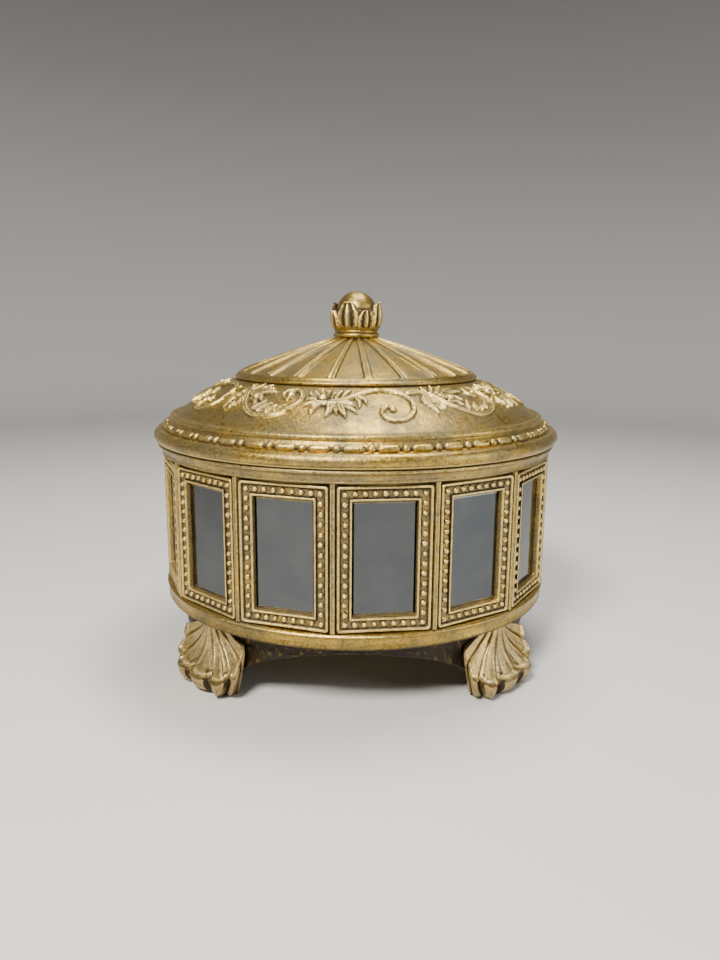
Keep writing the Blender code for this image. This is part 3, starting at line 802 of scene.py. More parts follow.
lidShape = {
    "ribCount": 22,
    "ribTurn": math.radians(-84.6),
    "ribHeight": 0.85,
    "collarRadius": 10.0,
    "coneRadius": 51.0,
    "coneFoot": 121.8,
    "coneBulge": 0.8,
    "coneInside": [(30.0, 124.0), (9.0, 132.3), (0.0, 132.8)],   # the hollow under the cone
    "stepRadius": 52.6,
    "stepFoot": 119.6,
    "slopeRadius": 77.9,
    "slopeFoot": 105.3,
    "slopeBulge": 1.0,
    "flangeTop": 99.3,
    "flangeMiddle": 96.75,      # height of the half-round edge's centre
    "flangeRound": 2.95,
    "scrollPeriods": 5,
    "scrollHeight": 1.25,
    "scrollRadius": 65.6,       # where a degree round the band has its mean length
    "spigotRadius": 72.8,
    "spigotBore": 69.8,
    "ledgeRadius": 67.6,
    "beadRowRadius": 82.45,
    "beadRowHeight": 100.65,
    "beadPeriods": 43,
    "reelThickness": 1.60,
    "beadThickness": 1.65,
    "stringThickness": 0.85,
    "beadTurn": math.radians(-90.4),
}


def ribbedCone():
    # a bowed cone; flat-topped ribs widen as they run out, and stand off it along its normal
    s = lidShape
    columns = 900
    theta = np.linspace(0, tau, columns, endpoint=False)
    upper = (s["collarRadius"] - 0.5, lidHigh[2] - 0.6)
    lower = (s["coneRadius"] + 0.4, s["coneFoot"] + 0.1)
    slope = bowedLine(upper, lower, s["coneBulge"], 46)
    slopePoints = turnProfile(slope, theta, 0.03)
    radius = slope[:, :1]
    pitch = tau / s["ribCount"]
    sideways = radius * np.abs((theta - s["ribTurn"] + pitch / 2) % pitch - pitch / 2)
    half = 0.60 + 0.75 * (radius - s["collarRadius"]) / (s["coneRadius"] - s["collarRadius"])
    rib = smoothStep(half + 0.60, half - 0.10, sideways)
    dish = smoothStep(half * 0.75, 0, sideways)
    rise = s["ribHeight"] * (rib - 0.22 * dish)
    rise = rise * smoothStep(s["coneRadius"] + 0.3, s["coneRadius"] - 0.8, radius)
    edge = np.exp(-((sideways - half - 0.75) / 0.35) ** 2)
    along = np.array([s["coneRadius"] - s["collarRadius"], lidHigh[2] - s["coneFoot"]])
    normalOut, normalUp = along[1] / np.hypot(*along), along[0] / np.hypot(*along)
    outward = np.stack([np.cos(theta), np.sin(theta), 0 * theta], -1)
    points = slopePoints + rise[..., None] * (outward * normalOut + np.array([0, 0, normalUp]))
    # ribs painted brighter, as rubbed gilding and painted highlight; a line along each rib's foot, the ground
    # near the collar and the cone's foot painted darker as painted shade
    relief = np.clip(0.44 + 0.20 * rib * (1 - 0.4 * dish) - 0.10 * edge, 0, 1)
    near = smoothStep(s["collarRadius"] + 7, s["collarRadius"], radius)
    relief = relief * (1 - 0.35 * near) + 0.18 * near
    relief = relief - 0.25 * smoothStep(s["coneRadius"] - 1.2, s["coneRadius"], radius)
    inside = np.vstack([[[s["coneRadius"], s["coneFoot"] - 1.5]], s["coneInside"][:2]])
    insidePoints = turnProfile(inside, theta, 0.0)
    points = np.concatenate([points, insidePoints])
    relief = np.concatenate([relief, np.full((3, columns), 0.3)])
    apex = np.array([0, 0, lidHigh[2] - 0.3])
    underside = np.array([0, 0, s["coneInside"][2][1]])
    return gridPart(points, False, True, apex, underside, relief=relief)


def lidMouldings():
    # step ring, the plain ground under the scrollwork, lower mouldings, flange, seat and spigot
    s = lidShape
    edge, spigotFoot, ledge = lidHigh[0], lidLow[2], lidLiningHigh[2] + 0.3
    profile = np.vstack([
        [[s["coneRadius"] - 3.5, s["coneFoot"] - 1.0], [s["coneRadius"] - 1.2, s["coneFoot"] + 0.25]],
        arcPoints((s["coneRadius"] - 0.15, s["coneFoot"] + 0.1), 0.8, 120, 10, 7),
        arcPoints((s["stepRadius"] - 0.35, s["stepFoot"] + 0.95), 0.75, 60, -50, 7),
        [[s["stepRadius"] - 0.3, s["stepFoot"] - 0.5]],
        bowedLine((s["stepRadius"] + 1.5, s["stepFoot"] - 2.2),
                  (s["slopeRadius"] - 2, s["slopeFoot"] - 0.4), s["slopeBulge"], 6),
        [[s["slopeRadius"] - 0.5, s["slopeFoot"] + 0.1]],
        [[s["slopeRadius"] + 0.35, s["slopeFoot"] + 0.05]],
        arcPoints((s["slopeRadius"] + 1.55, s["slopeFoot"] - 1.30), 1.55, 125, -35, 12),
        [[s["slopeRadius"] + 2.9, s["slopeFoot"] - 2.5]],
        bowedLine((s["slopeRadius"] + 3.2, s["slopeFoot"] - 2.8),
                  (edge - 3.5, s["flangeTop"] + 0.15), -0.5, 8),
        [[edge - 3.1, s["flangeTop"]]],
        arcPoints((edge - 3.2, s["flangeMiddle"]), s["flangeRound"], 72, -25, 16),
        bowedLine((edge - 0.7, s["flangeMiddle"] - 1.45), (edge - 1.35, seatHeight + 0.35), -0.1, 4),
        [[edge - 1.9, seatHeight]],
        [[s["spigotRadius"] + 0.3, seatHeight], [s["spigotRadius"], seatHeight - 0.3]],
        [[s["spigotRadius"], spigotFoot + 0.4], [s["spigotRadius"] - 0.4, spigotFoot]],
        [[s["spigotBore"] + 0.3, spigotFoot], [s["spigotBore"], spigotFoot + 0.3]],
        [[s["spigotBore"], ledge], [s["ledgeRadius"], ledge]],
        [[s["ledgeRadius"], s["slopeFoot"]], [s["stepRadius"], s["stepFoot"] - 5]],
    ])
    # painted shade: everything below the flange's foot, the seat, spigot and the lid's inside, is dark, and
    # so is the groove at the foot of the scroll band
    dark = smoothStep(seatHeight + 0.7, seatHeight + 0.1, profile[:, 1:])
    groove = np.exp(-((profile[:, 1:] - s["slopeFoot"] - 0.05) / 0.25) ** 2)
    shade = np.clip(dark + 0.7 * groove, 0, 1) * 0.9
    return lathePart(profile, 288, shade=shade, wobble=0.03, times=3, gain=0.8)


def bandPlace(points):
    # (degrees round the lid, millimetres down the slope) as millimetres both ways
    return np.array(points, float) * [math.radians(lidShape["scrollRadius"]), 1]


def bandStroke(points, startWidth, endWidth, height, count=130):
    # a stem: flat-sided, with a hollow down its middle
    path = smoothCurve(bandPlace(points), count)
    return {"path": path, "half": np.linspace(startWidth, endWidth, len(path)) / 2,
            "height": height, "hollow": 0.55, "veinWidth": 0.42}


def leafStroke(points, width, height):
    # a leaf finger: swells fast, runs out to a point, with a fine vein
    path = smoothCurve(bandPlace(points), 30)
    t = np.linspace(0, 1, len(path))
    swell = np.sin(np.pi * (0.06 + 0.94 * t) ** 0.75) ** 0.8
    return {"path": path, "half": np.maximum(width / 2 * swell, 0.14),
            "height": height, "hollow": 0.42, "veinWidth": 0.24}


def scrollStrokes():
    # one period of the running scroll, 72 degrees long, in places that bandPlace reads
    stems = [
        # the low scroll, from the leaves over the top and in to its eye
        ([(-8, 12), (-4, 10.6), (0, 7.9), (4, 5.3), (8, 4.1), (12, 4.2), (15.5, 5.8), (18, 9), (18.8, 12.6),
          (18.3, 16.6), (16.7, 20), (14.2, 22.5), (11.2, 23.2), (8.8, 21.7), (7.9, 18.9), (8.6, 16.2),
          (10.4, 14.8), (11.8, 15.6)], 2.4, 1.5, 1.0),
        # the falling stem, its bowl and the high scroll
        ([(-53, 6.2), (-48.5, 5.7), (-44.8, 7.4), (-42.3, 11.2), (-39.6, 15.4), (-36, 19.4), (-31.8, 22.1),
          (-27.4, 21.9), (-23.4, 19.9), (-20.4, 16.6), (-18.8, 12.9), (-18.8, 9.5), (-20.2, 6.4),
          (-22.6, 4.7), (-25.2, 5.0), (-26.5, 7.1), (-25.8, 9.5), (-24.2, 10.9)], 2.5, 1.7, 1.0),
    ]
    leaves = [
        # the cluster between the two scrolls: upward, downward and sideways fingers
        ([(-11.2, 8.5), (-12.1, 5.6), (-12.8, 3.1)], 2.0, 0.9),
        ([(-10, 9), (-9.9, 6), (-9.2, 3.6)], 1.9, 0.85),
        ([(-12.5, 9), (-14.2, 7), (-15.2, 4.6)], 1.9, 0.85), ([(-7, 10.4), (-6.2, 7), (-4.6, 4.4)], 2.0, 0.9),
        ([(-4.8, 9.6), (-3.6, 6.4), (-1.6, 3.4)], 1.9, 0.85), ([(-8, 10), (-8, 7.6), (-7.2, 5.4)], 1.6, 0.75),
        ([(-11.4, 13.2), (-13.2, 16), (-13.3, 21)], 3.0, 1.1),
        ([(-8.8, 13.4), (-8.0, 17), (-9.0, 21.2)], 2.8, 1.05),
        ([(-5.6, 13.2), (-4.4, 17), (-2.8, 21.6)], 2.8, 1.1),
        ([(-7, 13.5), (-6.2, 17), (-5.6, 19.8)], 1.9, 0.85),
        ([(-5.5, 12.6), (-2.6, 13.0), (-0.2, 15.4)], 2.6, 1.1),
        ([(-4.6, 14), (-1.6, 16), (0.4, 19)], 1.9, 0.8),
        ([(-13.6, 12.6), (-9.5, 13.4), (-4.4, 12.9)], 2.6, 1.0),
        ([(-12.6, 12.4), (-14.8, 13.2), (-16.8, 15.2)], 2.0, 0.9),
        ([(-13.5, 11), (-15.4, 10.2), (-17.2, 11.4)], 1.8, 0.8),
        ([(0.4, 8.4), (2.8, 10.2), (3.6, 14)], 1.8, 0.8),
        ([(0, 9.6), (1.2, 12.6), (0.8, 17)], 1.6, 0.7),
        ([(-14.2, 8.8), (-16.4, 7.4), (-17.0, 5.2)], 1.5, 0.7),
        # the fan over the falling stem
        ([(-43.0, 6.6), (-41.6, 3.8), (-40.6, 1.6)], 2.2, 0.9),
        ([(-42.0, 7.6), (-38.6, 4.4), (-35.4, 2.2)], 2.4, 1.0),
        ([(-41.5, 8.6), (-37.4, 6.2), (-32.4, 5.0)], 2.4, 1.0),
        ([(-41.0, 9.6), (-35.4, 7.6), (-28.8, 7.4)], 2.8, 1.1),
        ([(-39.8, 10.6), (-36.2, 10.6), (-33.0, 13.8)], 3.0, 1.2),
        ([(-44.6, 6.2), (-45.6, 4.2), (-45.4, 2.2)], 1.9, 0.8),
        ([(-38.8, 12.6), (-36, 13.6), (-34.4, 16.8)], 2.0, 0.85),
        # flutes that rise out of the bowl
        ([(-34.0, 19.0), (-32.8, 15.8), (-30.8, 12.8)], 2.0, 0.85),
        ([(-31.2, 20.0), (-30.2, 16.8), (-28.2, 14.2)], 2.0, 0.85),
        ([(-28.4, 20.2), (-27.4, 17.6), (-25.6, 15.4)], 1.8, 0.8),
        ([(-25.6, 19.4), (-24.6, 17), (-23.0, 14.8)], 1.7, 0.75),
        # the leaf that hangs under the falling stem
        ([(-46.4, 7.6), (-47.4, 12.6), (-46.2, 20.4)], 3.2, 0.95),
        ([(-46.2, 9.6), (-43.8, 11.8), (-43.6, 14.4)], 2.0, 0.8),
        ([(-46.6, 12.4), (-43.4, 14.4), (-42.6, 17.4)], 2.0, 0.8),
        ([(-46.6, 14.8), (-44.4, 16.6), (-44.2, 19.4)], 1.8, 0.75),
        ([(-47.2, 8.8), (-48.8, 11.6), (-48.4, 15.4)], 1.7, 0.75),
    ]
    return [bandStroke(*stem) for stem in stems] + [leafStroke(*leaf) for leaf in leaves]


def scrollHeightMap(x, y, period):
    # each stroke's height falls off with the distance to its path; the highest stroke wins
    flatX, flatY = x.ravel(), y.ravel()
    best = np.zeros(flatX.size)
    for stroke in scrollStrokes():
        path, half = stroke["path"], stroke["half"]
        dx = (flatX[:, None] - path[None, :, 0] + period / 2) % period - period / 2
        dy = flatY[:, None] - path[None, :, 1]
        nearest = (np.sqrt(dx ** 2 + dy ** 2) / half).min(axis=1)
        dome = np.clip(1 - nearest ** 3, 0, 1) ** 0.6
        vein = 1 - stroke["hollow"] * np.exp(-(nearest / stroke["veinWidth"]) ** 2)
        best = np.maximum(best, stroke["height"] * dome * vein)
    berries = [((-23.4, 9.0), 1.7, 1.5), ((11.4, 17.0), 1.2, 1.2), ((-11.6, 9.6), 1.9, 1.35),
               ((-37.2, 11.2), 1.7, 1.4), ((-52.6, 6.4), 1.4, 1.1)]
    for place, radius, height in berries:
        centre = bandPlace([place])[0]
        dx = (flatX - centre[0] + period / 2) % period - period / 2
        distance = np.hypot(dx, flatY - centre[1]) / radius
        best = np.maximum(best, height * np.sqrt(np.clip(1 - distance ** 2, 0, 1)))
    return best.reshape(x.shape)


def makeScrollBand():
    # the slope's arc with the scroll relief standing off it, closed by a plain underside
    s = lidShape
    rows, perPeriod = 78, 216
    slope = bowedLine((s["stepRadius"] - 0.4, s["stepFoot"] + 0.1),
                      (s["slopeRadius"] + 0.4, s["slopeFoot"] - 0.1), s["slopeBulge"], rows)
    length = np.concatenate([[0], np.cumsum(np.hypot(*np.diff(slope, axis=0).T))])
    period = tau * s["scrollRadius"] / s["scrollPeriods"]
    x, y = np.meshgrid(np.linspace(0, period, perPeriod, endpoint=False), length)
    rise = s["scrollHeight"] * scrollHeightMap(x, y, period)
    rise = rise * smoothStep(0.2, 1.2, y) * smoothStep(length[-1] - 0.8, length[-1] - 2.5, y)
    rise = np.tile(rise, (1, s["scrollPeriods"]))
    columns = perPeriod * s["scrollPeriods"]
    theta = np.linspace(0, tau, columns, endpoint=False) - math.pi / 2
    tangent = np.gradient(slope, axis=0)
    tangent /= np.linalg.norm(tangent, axis=1, keepdims=True)
    outward = np.stack([np.cos(theta), np.sin(theta), 0 * theta], -1)
    normal = (outward[None] * -tangent[:, 1][:, None, None]
              + np.array([0, 0, 1.0]) * tangent[:, 0][:, None, None])
    points = turnProfile(slope, theta, 0.03) + rise[..., None] * normal
    blurred = blurGrid(rise[..., None], 7, False, True)[..., 0]
    wide = blurGrid(rise[..., None], 30, False, True)[..., 0]
    # strokes standing out of their blur painted brighter, as rubbed gilding and painted highlight; the ground
    # just around the strokes painted darker as painted shade
    relief = 0.50 + 0.42 * (rise - blurred) + 0.10 * rise - 0.30 * np.clip(wide - rise, 0, 1)
    # both edges of the band, in the creases at the mouldings, are painted darker as painted shade
    relief = relief - 0.25 * np.exp(-(y[:, :1] / 1.2) ** 2)
    relief = relief - 0.2 * np.exp(-((length[-1] - y[:, :1]) / 1.0) ** 2)
    under = bowedLine((s["slopeRadius"] - 1.0, s["slopeFoot"] - 1.4),
                      (s["stepRadius"] + 0.4, s["stepFoot"] - 1.4), -s["slopeBulge"], 3)
    points = np.concatenate([points, turnProfile(under, theta, 0.0)])
    relief = np.concatenate([np.clip(relief, 0, 1), np.full((3, columns), 0.3)])
    part = gridPart(points, True, True, relief=relief)
    makePiece("lidScrollBand", [part], lidGilding, "lid")


def makeBeadRow():
    # a ring tube whose thickness follows one long reel and one short bead in each period
    s = lidShape
    perPeriod, around = 36, 14
    t = np.tile(np.linspace(0, 1, perPeriod, endpoint=False), s["beadPeriods"])
    away = (t + 0.5) % 1 - 0.5
    reel = np.clip(1 - np.abs(away / 0.325) ** 8, 0, 1) ** 0.5
    bead = np.clip(1 - np.abs((t - 0.5) / 0.125) ** 2.4, 0, 1) ** 0.5
    thick = np.maximum(s["reelThickness"] * reel, s["beadThickness"] * bead)
    thick = np.maximum(thick, s["stringThickness"])
    columns = len(t)
    theta = np.linspace(0, tau, columns, endpoint=False) + s["beadTurn"]
    turn = np.linspace(0, -tau, around, endpoint=False)[:, None]
    r = s["beadRowRadius"] + thick * np.cos(turn)
    z = s["beadRowHeight"] + thick * np.sin(turn)
    points = np.stack([r * np.cos(theta), r * np.sin(theta), z], -1)
    # the side of each bead and reel that faces up and out is painted brighter as a painted highlight, the
    # side away darker as painted shade; the string between them is painted dark as painted shade
    facing = np.cos(turn - math.radians(40))
    relief = np.where(thick > 1.1, 0.44 + 0.20 * np.clip(facing, -1, 1), 0.22)
    part = gridPart(points, True, True, relief=np.clip(relief, 0, 1))
    makePiece("lidBeadRow", [part], lidGilding, "lid")


def makeLid():
    # the casting replaces the lid, the scroll band and the bead row are applied to it
    makePiece("lidCasting", [ribbedCone(), lidMouldings()], lidGilding, "lid", ["lid"])
    makeScrollBand()
    makeBeadRow()


finialShape = {
    "collarRadius": 10.1,
    "collarHeight": 3.2,
    "cupRadius": 8.8,
    "cupBulge": 2.0,
    "cupHeight": 13.0,
    "leafCount": 8,
    "leafTurn": math.radians(-112.0),
    "leafThickness": 0.9,
    # length, half width, how far it stands off the bowl, how far its tip curls out
    "tallLeaf": (12.9, 6.6, 0.0, 2.0),
    "shortLeaf": (9.4, 5.2, 0.35, 0.5),
}


def cupRadiusAt(rise):
    # the bowl's side: a flattened sine bulge over its foot radius
    s = finialShape
    share = np.clip(rise / s["cupHeight"], 0, 1)
    return s["cupRadius"] + s["cupBulge"] * np.sin(np.pi * share) ** 0.7


def leafPart(angle, length, halfWidth, outward, curl):
    # a leaf that lies on the bowl: scalloped edges close to the tip, which curls out; flutes run up it
    s = finialShape
    foot = cupLow[2] + s["collarHeight"] - 0.3
    t = np.linspace(0, 1, 40)[:, None]
    v = np.linspace(-1, 1, 41)[None]
    tipCurl = smoothStep(0.82, 1.0, t)
    radius = cupRadiusAt(length * t) + outward + curl * tipCurl ** 1.4
    height = foot + length * t - 1.0 * tipCurl ** 2
    scallop = 1 - 0.10 * np.abs(np.sin(np.pi * 5 * t)) * (t < 0.9)
    closing = np.sqrt(np.clip(1 - 0.94 * smoothStep(0.30, 1.05, t) ** 1.5, 0.02, 1))
    half = halfWidth * (0.78 + 0.22 * np.sin(np.pi * t)) * closing * scallop
    flute = 0.42 * np.cos(v * np.pi * 3) * smoothStep(0.02, 0.2, t) * (1 - 0.6 * tipCurl)
    front = radius + s["leafThickness"] * 0.5 + flute - 0.75 * v ** 2
    back = radius - s["leafThickness"] + 0 * v
    theta = angle + v * half / radius
    frontPoints = np.stack([front * np.cos(theta), front * np.sin(theta), height + 0 * v], -1)
    backPoints = np.stack([back * np.cos(theta), back * np.sin(theta), height + 0 * v], -1)[:, ::-1]
    points = np.concatenate([frontPoints, backPoints], axis=1)
    # flute ridges and curled tips painted brighter, as rubbed gilding and painted highlight; the leaf's edges
    # and its back against the bowl painted darker as painted shade
    relief = np.clip(0.46 + 0.85 * flute + 0.25 * tipCurl - 0.20 * (np.abs(v) > 0.93), 0, 1)
    relief = np.concatenate([relief, np.full(frontPoints.shape[:2], 0.25)], axis=1)
    return gridPart(points, False, True, points[0].mean(0), points[-1].mean(0), relief=relief)


def makeFinial():
    # a turned collar, a bowl inside two rings of leaves, and the ball that rests in it
    s = finialShape
    low, top = cupLow[2], cupLow[2] + s["collarHeight"]
    r = s["collarRadius"]
    collar = np.vstack([
        [[0.0, top + 0.6], [s["cupRadius"] - 1.0, top + 0.6], [s["cupRadius"] - 0.2, top + 0.1]],
        arcPoints((r - 1.25, top - 0.65), 0.65, 90, -40, 7),
        [[r - 0.95, top - 1.35]],
        arcPoints((r - 1.0, top - 2.3), 1.0, 55, -60, 8),
        [[r - 1.2, low], [0.0, low]],
    ])
    rise = np.linspace(9.6, 0, 14)
    outside = np.stack([cupRadiusAt(rise) - 0.6, top - 0.3 + rise], -1)
    inside = np.stack([cupRadiusAt(rise[-4::-1]) - 1.4, top - 0.3 + rise[-4::-1]], -1)
    cup = np.vstack([[[0.0, top + 1.6]], inside, outside, [[6.0, top - 0.6], [0.0, top - 0.6]]])
    # the bowl between the leaves is painted dark as painted shade
    parts = [lathePart(collar, 96, wobble=0.02, times=2, gain=1.6),
             lathePart(cup, 96, wobble=0.0, relief=0.22)]
    for index in range(s["leafCount"]):
        angle = s["leafTurn"] + index * tau / s["leafCount"]
        parts.append(leafPart(angle, *s["shortLeaf" if index % 2 else "tallLeaf"]))
    makePiece("finialCup", parts, lidGilding, "lid", ["finial_cup"])
    radius = ballHigh[0]
    centre = ballHigh[2] - radius
    polar = np.linspace(0, np.pi, 42)[1:-1, None]
    theta = np.linspace(0, tau, 72, endpoint=False)
    dent = 1 - 0.004 * (1 + np.sin(3 * theta + 2 * polar) * np.sin(4 * polar))
    sphere = np.stack([np.sin(polar) * np.cos(theta), np.sin(polar) * np.sin(theta),
                       np.cos(polar) + 0 * theta], -1)
    points = radius * dent[..., None] * sphere + np.array([0, 0, centre])
    ball = gridPart(points, False, True, np.array([0, 0, centre + radius * 0.996]),
                    np.array([0, 0, centre - radius * 0.996]), relief=0.5)
    makePiece("finialBall", [ball], lidGilding, "lid", ["finial_ball"])


def makeLinings():
    # the wall's sleeve has a seam and a rounded top edge
    low, high, outer = wallLow[2], wallHigh[2], wallHigh[0]
    theta = np.linspace(0, tau, 240, endpoint=False)
    profile = np.vstack([
        [[outer - 0.05, high - 0.5]],
        [[outer - 0.05, (low + high) / 2], [outer - 0.05, low + 0.02]],
        [[outer - 0.95, low + 0.02]],
        np.stack([np.full(16, outer - 1.0), np.linspace(low + 1, high - 0.6, 16)], -1),
        arcPoints((outer - 0.52, high - 0.5), 0.48, 180, 0, 7)[:-1],
    ])
    points = turnProfile(profile, theta, 0.0)
    seam = 0.35 * np.exp(-(((theta - math.radians(60) + np.pi) % tau - np.pi) / 0.012) ** 2)
    inner = profile[:, 0] < outer - 0.9
    points[inner, :, :2] *= (1 + (0.05 + seam) / outer)[None, :, None]
    wall = gridPart(points, True, True, relief=0.5)
    makePiece("wallLining", [wall], velvet, "box", ["wall_lining"])
    for name, node, body, (bottom, top), sign in (
            ("floorLining", "floor_lining", "box", (floorLow, floorHigh), 1),
            ("lidLining", "lid_lining", "lid", (lidLiningLow, lidLiningHigh), -1)):
        edge = top[0]
        faceHeight, backHeight = (top[2], bottom[2]) if sign > 0 else (bottom[2], top[2])
        # a card disc: velvet rolls over its edge, with a low swell towards the middle
        radii = np.linspace(0, edge - 0.8, 14)
        swell = 0.35 * (1 - (radii / edge) ** 2)
        face = np.stack([radii, faceHeight - sign * (0.36 - swell)], -1)
        roll = arcPoints((edge - 0.55, 0), 0.55, 80, -80, 7)
        roll[:, 1] = (faceHeight + backHeight) / 2 + sign * roll[:, 1] * 0.95
        back = [[edge - 2.0, backHeight + sign * 0.05], [0.0, backHeight + sign * 0.05]]
        disc = lathePart(np.vstack([face, roll, back]), 160, wobble=0.0, relief=0.5)
        makePiece(name, [disc], velvet, body, [node])


def screwPart(headRadius, headHeight, shankRadius, length):
    # a domed head with a cross recess, and a shank with a helical thread, all on one polar grid
    theta = np.linspace(0, tau, 40, endpoint=False)
    rings = np.linspace(0.12, 1, 12) * headRadius
    dome = 0.28 * headHeight * (1 - (rings / headRadius) ** 2)
    count = 40
    shank = np.linspace(-headHeight, -length + 0.6, count)
    radius = np.concatenate([rings, [headRadius, headRadius * 0.96, shankRadius], np.full(count, shankRadius),
                             [shankRadius * 0.45]])
    height = np.concatenate([dome - 0.28 * headHeight, [-0.6 * headHeight, -headHeight, -headHeight],
                             shank, [-length + 0.05]])
    r, z = radius[:, None] + 0 * theta, height[:, None] + 0 * theta
    x, y = r * np.cos(theta), r * np.sin(theta)
    arm = np.minimum(np.abs(x), np.abs(y)) < 0.17 * headRadius
    inside = np.maximum(np.abs(x), np.abs(y)) < 0.58 * headRadius
    onTop = (np.arange(len(radius)) < len(rings))[:, None]
    z = z - 0.45 * headHeight * (arm & inside & onTop)
    threaded = np.zeros(len(radius), bool)
    threaded[len(rings) + 6:-3] = True
    wave = np.abs(((z / 0.7 - theta / tau) % 1) * 2 - 1)
    r = np.where(threaded[:, None], r - 0.22 * wave, r)
    points = np.stack([r * np.cos(theta), r * np.sin(theta), z], -1)
    pole = np.array([0, 0, -0.45 * headHeight])
    return gridPart(points, False, True, pole, np.array([0, 0, -length]), relief=0.5)


def placePart(part, axes, origin):
    # row points times the rows that say where X, Y and Z go, plus the origin
    placed = dict(part)
    placed["points"] = part["points"] @ np.array(axes, float) + np.array(origin)
    return placed


def makeScrews():
    # the row vectors say where the screw's own X, Y and Z go; the head's top is its origin
    screws = {"headHeight": 1.8, "radius": 1.3, "headRadius": 2.6, "finialRadius": 1.5,
              "footLength": 13.0, "footInset": 2.2}
    up = [[1, 0, 0], [0, -1, 0], [0, 0, -1]]
    for index in range(4):
        low, high = boxMm("base_screw_%d" % (index + 1))
        part = screwPart(screws["headRadius"], screws["headHeight"], screws["radius"], high[2] - low[2])
        centre = (low + high) / 2
        placed = placePart(part, up, (centre[0], centre[1], low[2]))
        makePiece("baseScrew%d" % (index + 1), [placed], steel, "box",
                  ["base_screw_%d" % (index + 1)])
    inner = baseShape["apronBore"] - screws["footInset"]
    for index in range(4):
        low, high = boxMm("foot_screw_%d" % (index + 1))
        angle = math.atan2((low[1] + high[1]) / 2, (low[0] + high[0]) / 2)
        out = np.array([math.cos(angle), math.sin(angle), 0])
        side = np.array([-math.sin(angle), math.cos(angle), 0])
        part = screwPart(screws["headRadius"], screws["headHeight"], screws["radius"],
                         screws["footLength"])
        axes = [side, [0, 0, 1], -out]
        origin = out * inner + np.array([0, 0, (low[2] + high[2]) / 2])
        makePiece("footScrew%d" % (index + 1), [placePart(part, axes, origin)], steel, "box",
                  ["foot_screw_%d" % (index + 1)])
    low, high = boxMm("finial_screw")
    part = screwPart(high[0], screws["headHeight"], screws["finialRadius"], high[2] - low[2])
    placed = placePart(part, up, (0, 0, low[2]))
    makePiece("finialScrew", [placed], steel, "lid", ["finial_screw"])
    edge, bottom, top = washerHigh[0], washerLow[2], washerHigh[2]
    bore, chamfer = 1.85, 0.15
    washer = [[edge - chamfer, top], [edge, top - chamfer],
              [edge, bottom + chamfer], [edge - chamfer, bottom],
              [bore + chamfer, bottom], [bore, bottom + chamfer],
              [bore, top - chamfer], [bore + chamfer, top]]
    ring = lathePart(washer, 64, wobble=0.0, relief=0.5)
    makePiece("finialWasher", [ring], steel, "lid", ["finial_washer"])


makeDrum()
makeBaseRing()
makeFeet()
makeLid()
makeFinial()
makeLinings()
makeScrews()
for index in range(drumShape["panelCount"]):
    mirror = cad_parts["mirror_%02d" % (index + 1)]
    mirror.data.materials.clear()
    mirror.data.materials.append(mirrorGlass)
print("pieces ready")


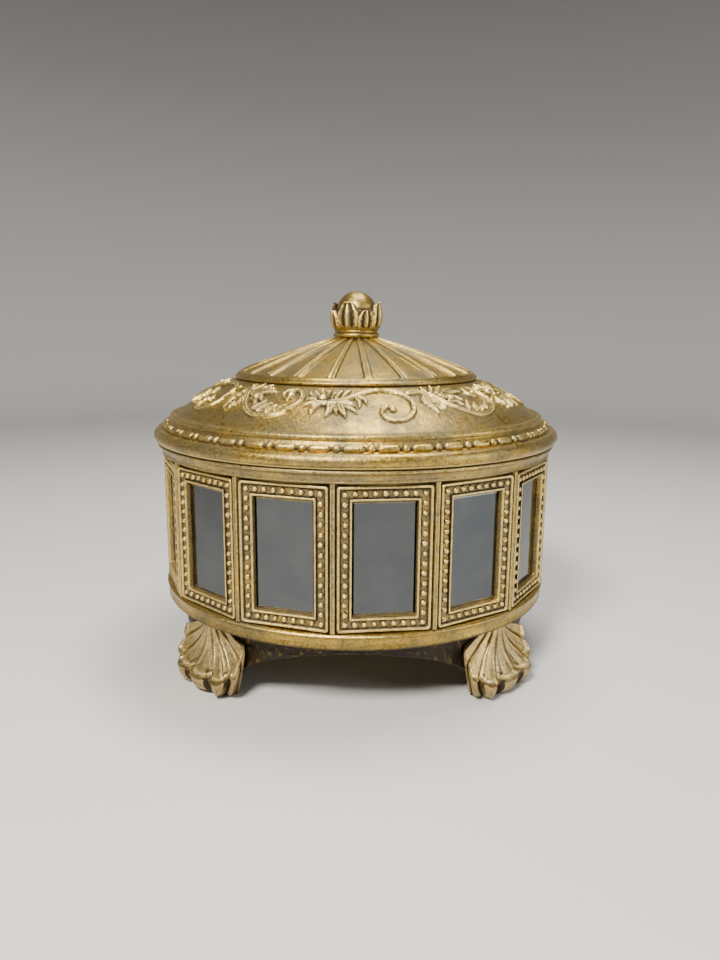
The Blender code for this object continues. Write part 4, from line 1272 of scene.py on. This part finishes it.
def makeFloor():
    # a flat disc that sweeps up smoothly towards its edge, as a studio backdrop does
    flatRadius, edgeRadius, edgeHeight, below = 0.9, 2.2, 1.3, 0.0002
    sweep = np.linspace(flatRadius + 0.05, edgeRadius, 30)
    radius = np.concatenate([np.linspace(0.05, flatRadius, 12), sweep])[:, None]
    theta = np.linspace(0, tau, 96, endpoint=False)
    height = edgeHeight * smoothStep(flatRadius, edgeRadius, radius) - below
    points = np.stack([radius * np.cos(theta), radius * np.sin(theta), height + 0 * theta], -1)
    rows, columns = points.shape[:2]
    r, c = np.meshgrid(np.arange(rows - 1), np.arange(columns), indexing="ij")
    after = (c + 1) % columns
    quads = np.stack([r * columns + c, (r + 1) * columns + c,
                      (r + 1) * columns + after, r * columns + after], -1)
    mesh = bpy.data.meshes.new("studioFloor")
    vertices = np.vstack([points.reshape(-1, 3), [[0, 0, -below]]])
    ring = np.arange(columns)
    fan = np.stack([np.full(columns, len(vertices) - 1), ring, (ring + 1) % columns], -1)
    mesh.from_pydata(vertices.tolist(), [], quads.reshape(-1, 4).tolist() + fan.tolist())
    mesh.shade_smooth()
    material, _, shader = newMaterial("paleFloor")
    shader.inputs["Base Color"].default_value = srgb(205, 203, 199)
    shader.inputs["Roughness"].default_value = 0.55
    mesh.materials.append(material)
    floor = bpy.data.objects.new("studioFloor", mesh)
    bpy.context.scene.collection.objects.link(floor)


def addLight(name, place, target, width, height, power, color):
    # a soft rectangular lamp turned towards its target; an area lamp shines along its own -Z
    light = bpy.data.lights.new(name, "AREA")
    light.shape = "RECTANGLE"
    light.size, light.size_y = width, height
    light.energy = power
    light.color = color
    lamp = bpy.data.objects.new(name, light)
    direction = np.array(target, float) - np.array(place, float)
    lamp.location = place
    flat = math.hypot(direction[0], direction[1])
    heading = math.atan2(direction[1], direction[0]) - math.pi / 2
    lamp.rotation_euler = (math.atan2(flat, -direction[2]), 0, heading)
    bpy.context.scene.collection.objects.link(lamp)


def makeStudio():
    # a pale floor, a near lamp on the left, a weak one on the right and a wide one overhead
    makeFloor()
    middle = (0, 0, 0.08)
    addLight("keyLight", (-0.20, -0.52, 0.62), middle, 0.20, 0.20, 12.0, (1.0, 0.96, 0.90))
    addLight("fillLight", (0.70, -0.35, 0.30), middle, 0.30, 0.50, 3.0, (0.95, 0.97, 1.0))
    addLight("topLight", (0.10, 0.10, 0.80), middle, 0.4, 0.2, 7.0, (1.0, 0.98, 0.94))
    world = bpy.data.worlds.new("studioWorld")
    bpy.context.scene.world = world
    world.use_nodes = True
    background = world.node_tree.nodes["Background"]
    background.inputs["Color"].default_value = (0.80, 0.83, 0.88, 1.0)
    background.inputs["Strength"].default_value = 0.12


def makeCamera():
    # the camera stands on the -Y side and looks down at the box by its pitch
    view = {"distance": 0.3444, "height": 0.1433, "pitch": 11.5, "roll": -0.38,
            "lens": 28.95, "shift": 0.0037}
    camera = bpy.data.cameras.new("studioCamera")
    camera.lens = view["lens"]
    camera.sensor_width = 36.0
    camera.shift_x = view["shift"]
    camera.clip_start = 0.01
    holder = bpy.data.objects.new("studioCamera", camera)
    holder.location = (0, -view["distance"], view["height"])
    holder.rotation_euler = (math.radians(90 - view["pitch"]), math.radians(view["roll"]), 0)
    bpy.context.scene.collection.objects.link(holder)
    bpy.context.scene.camera = holder


makeStudio()
makeCamera()
print("studio ready")
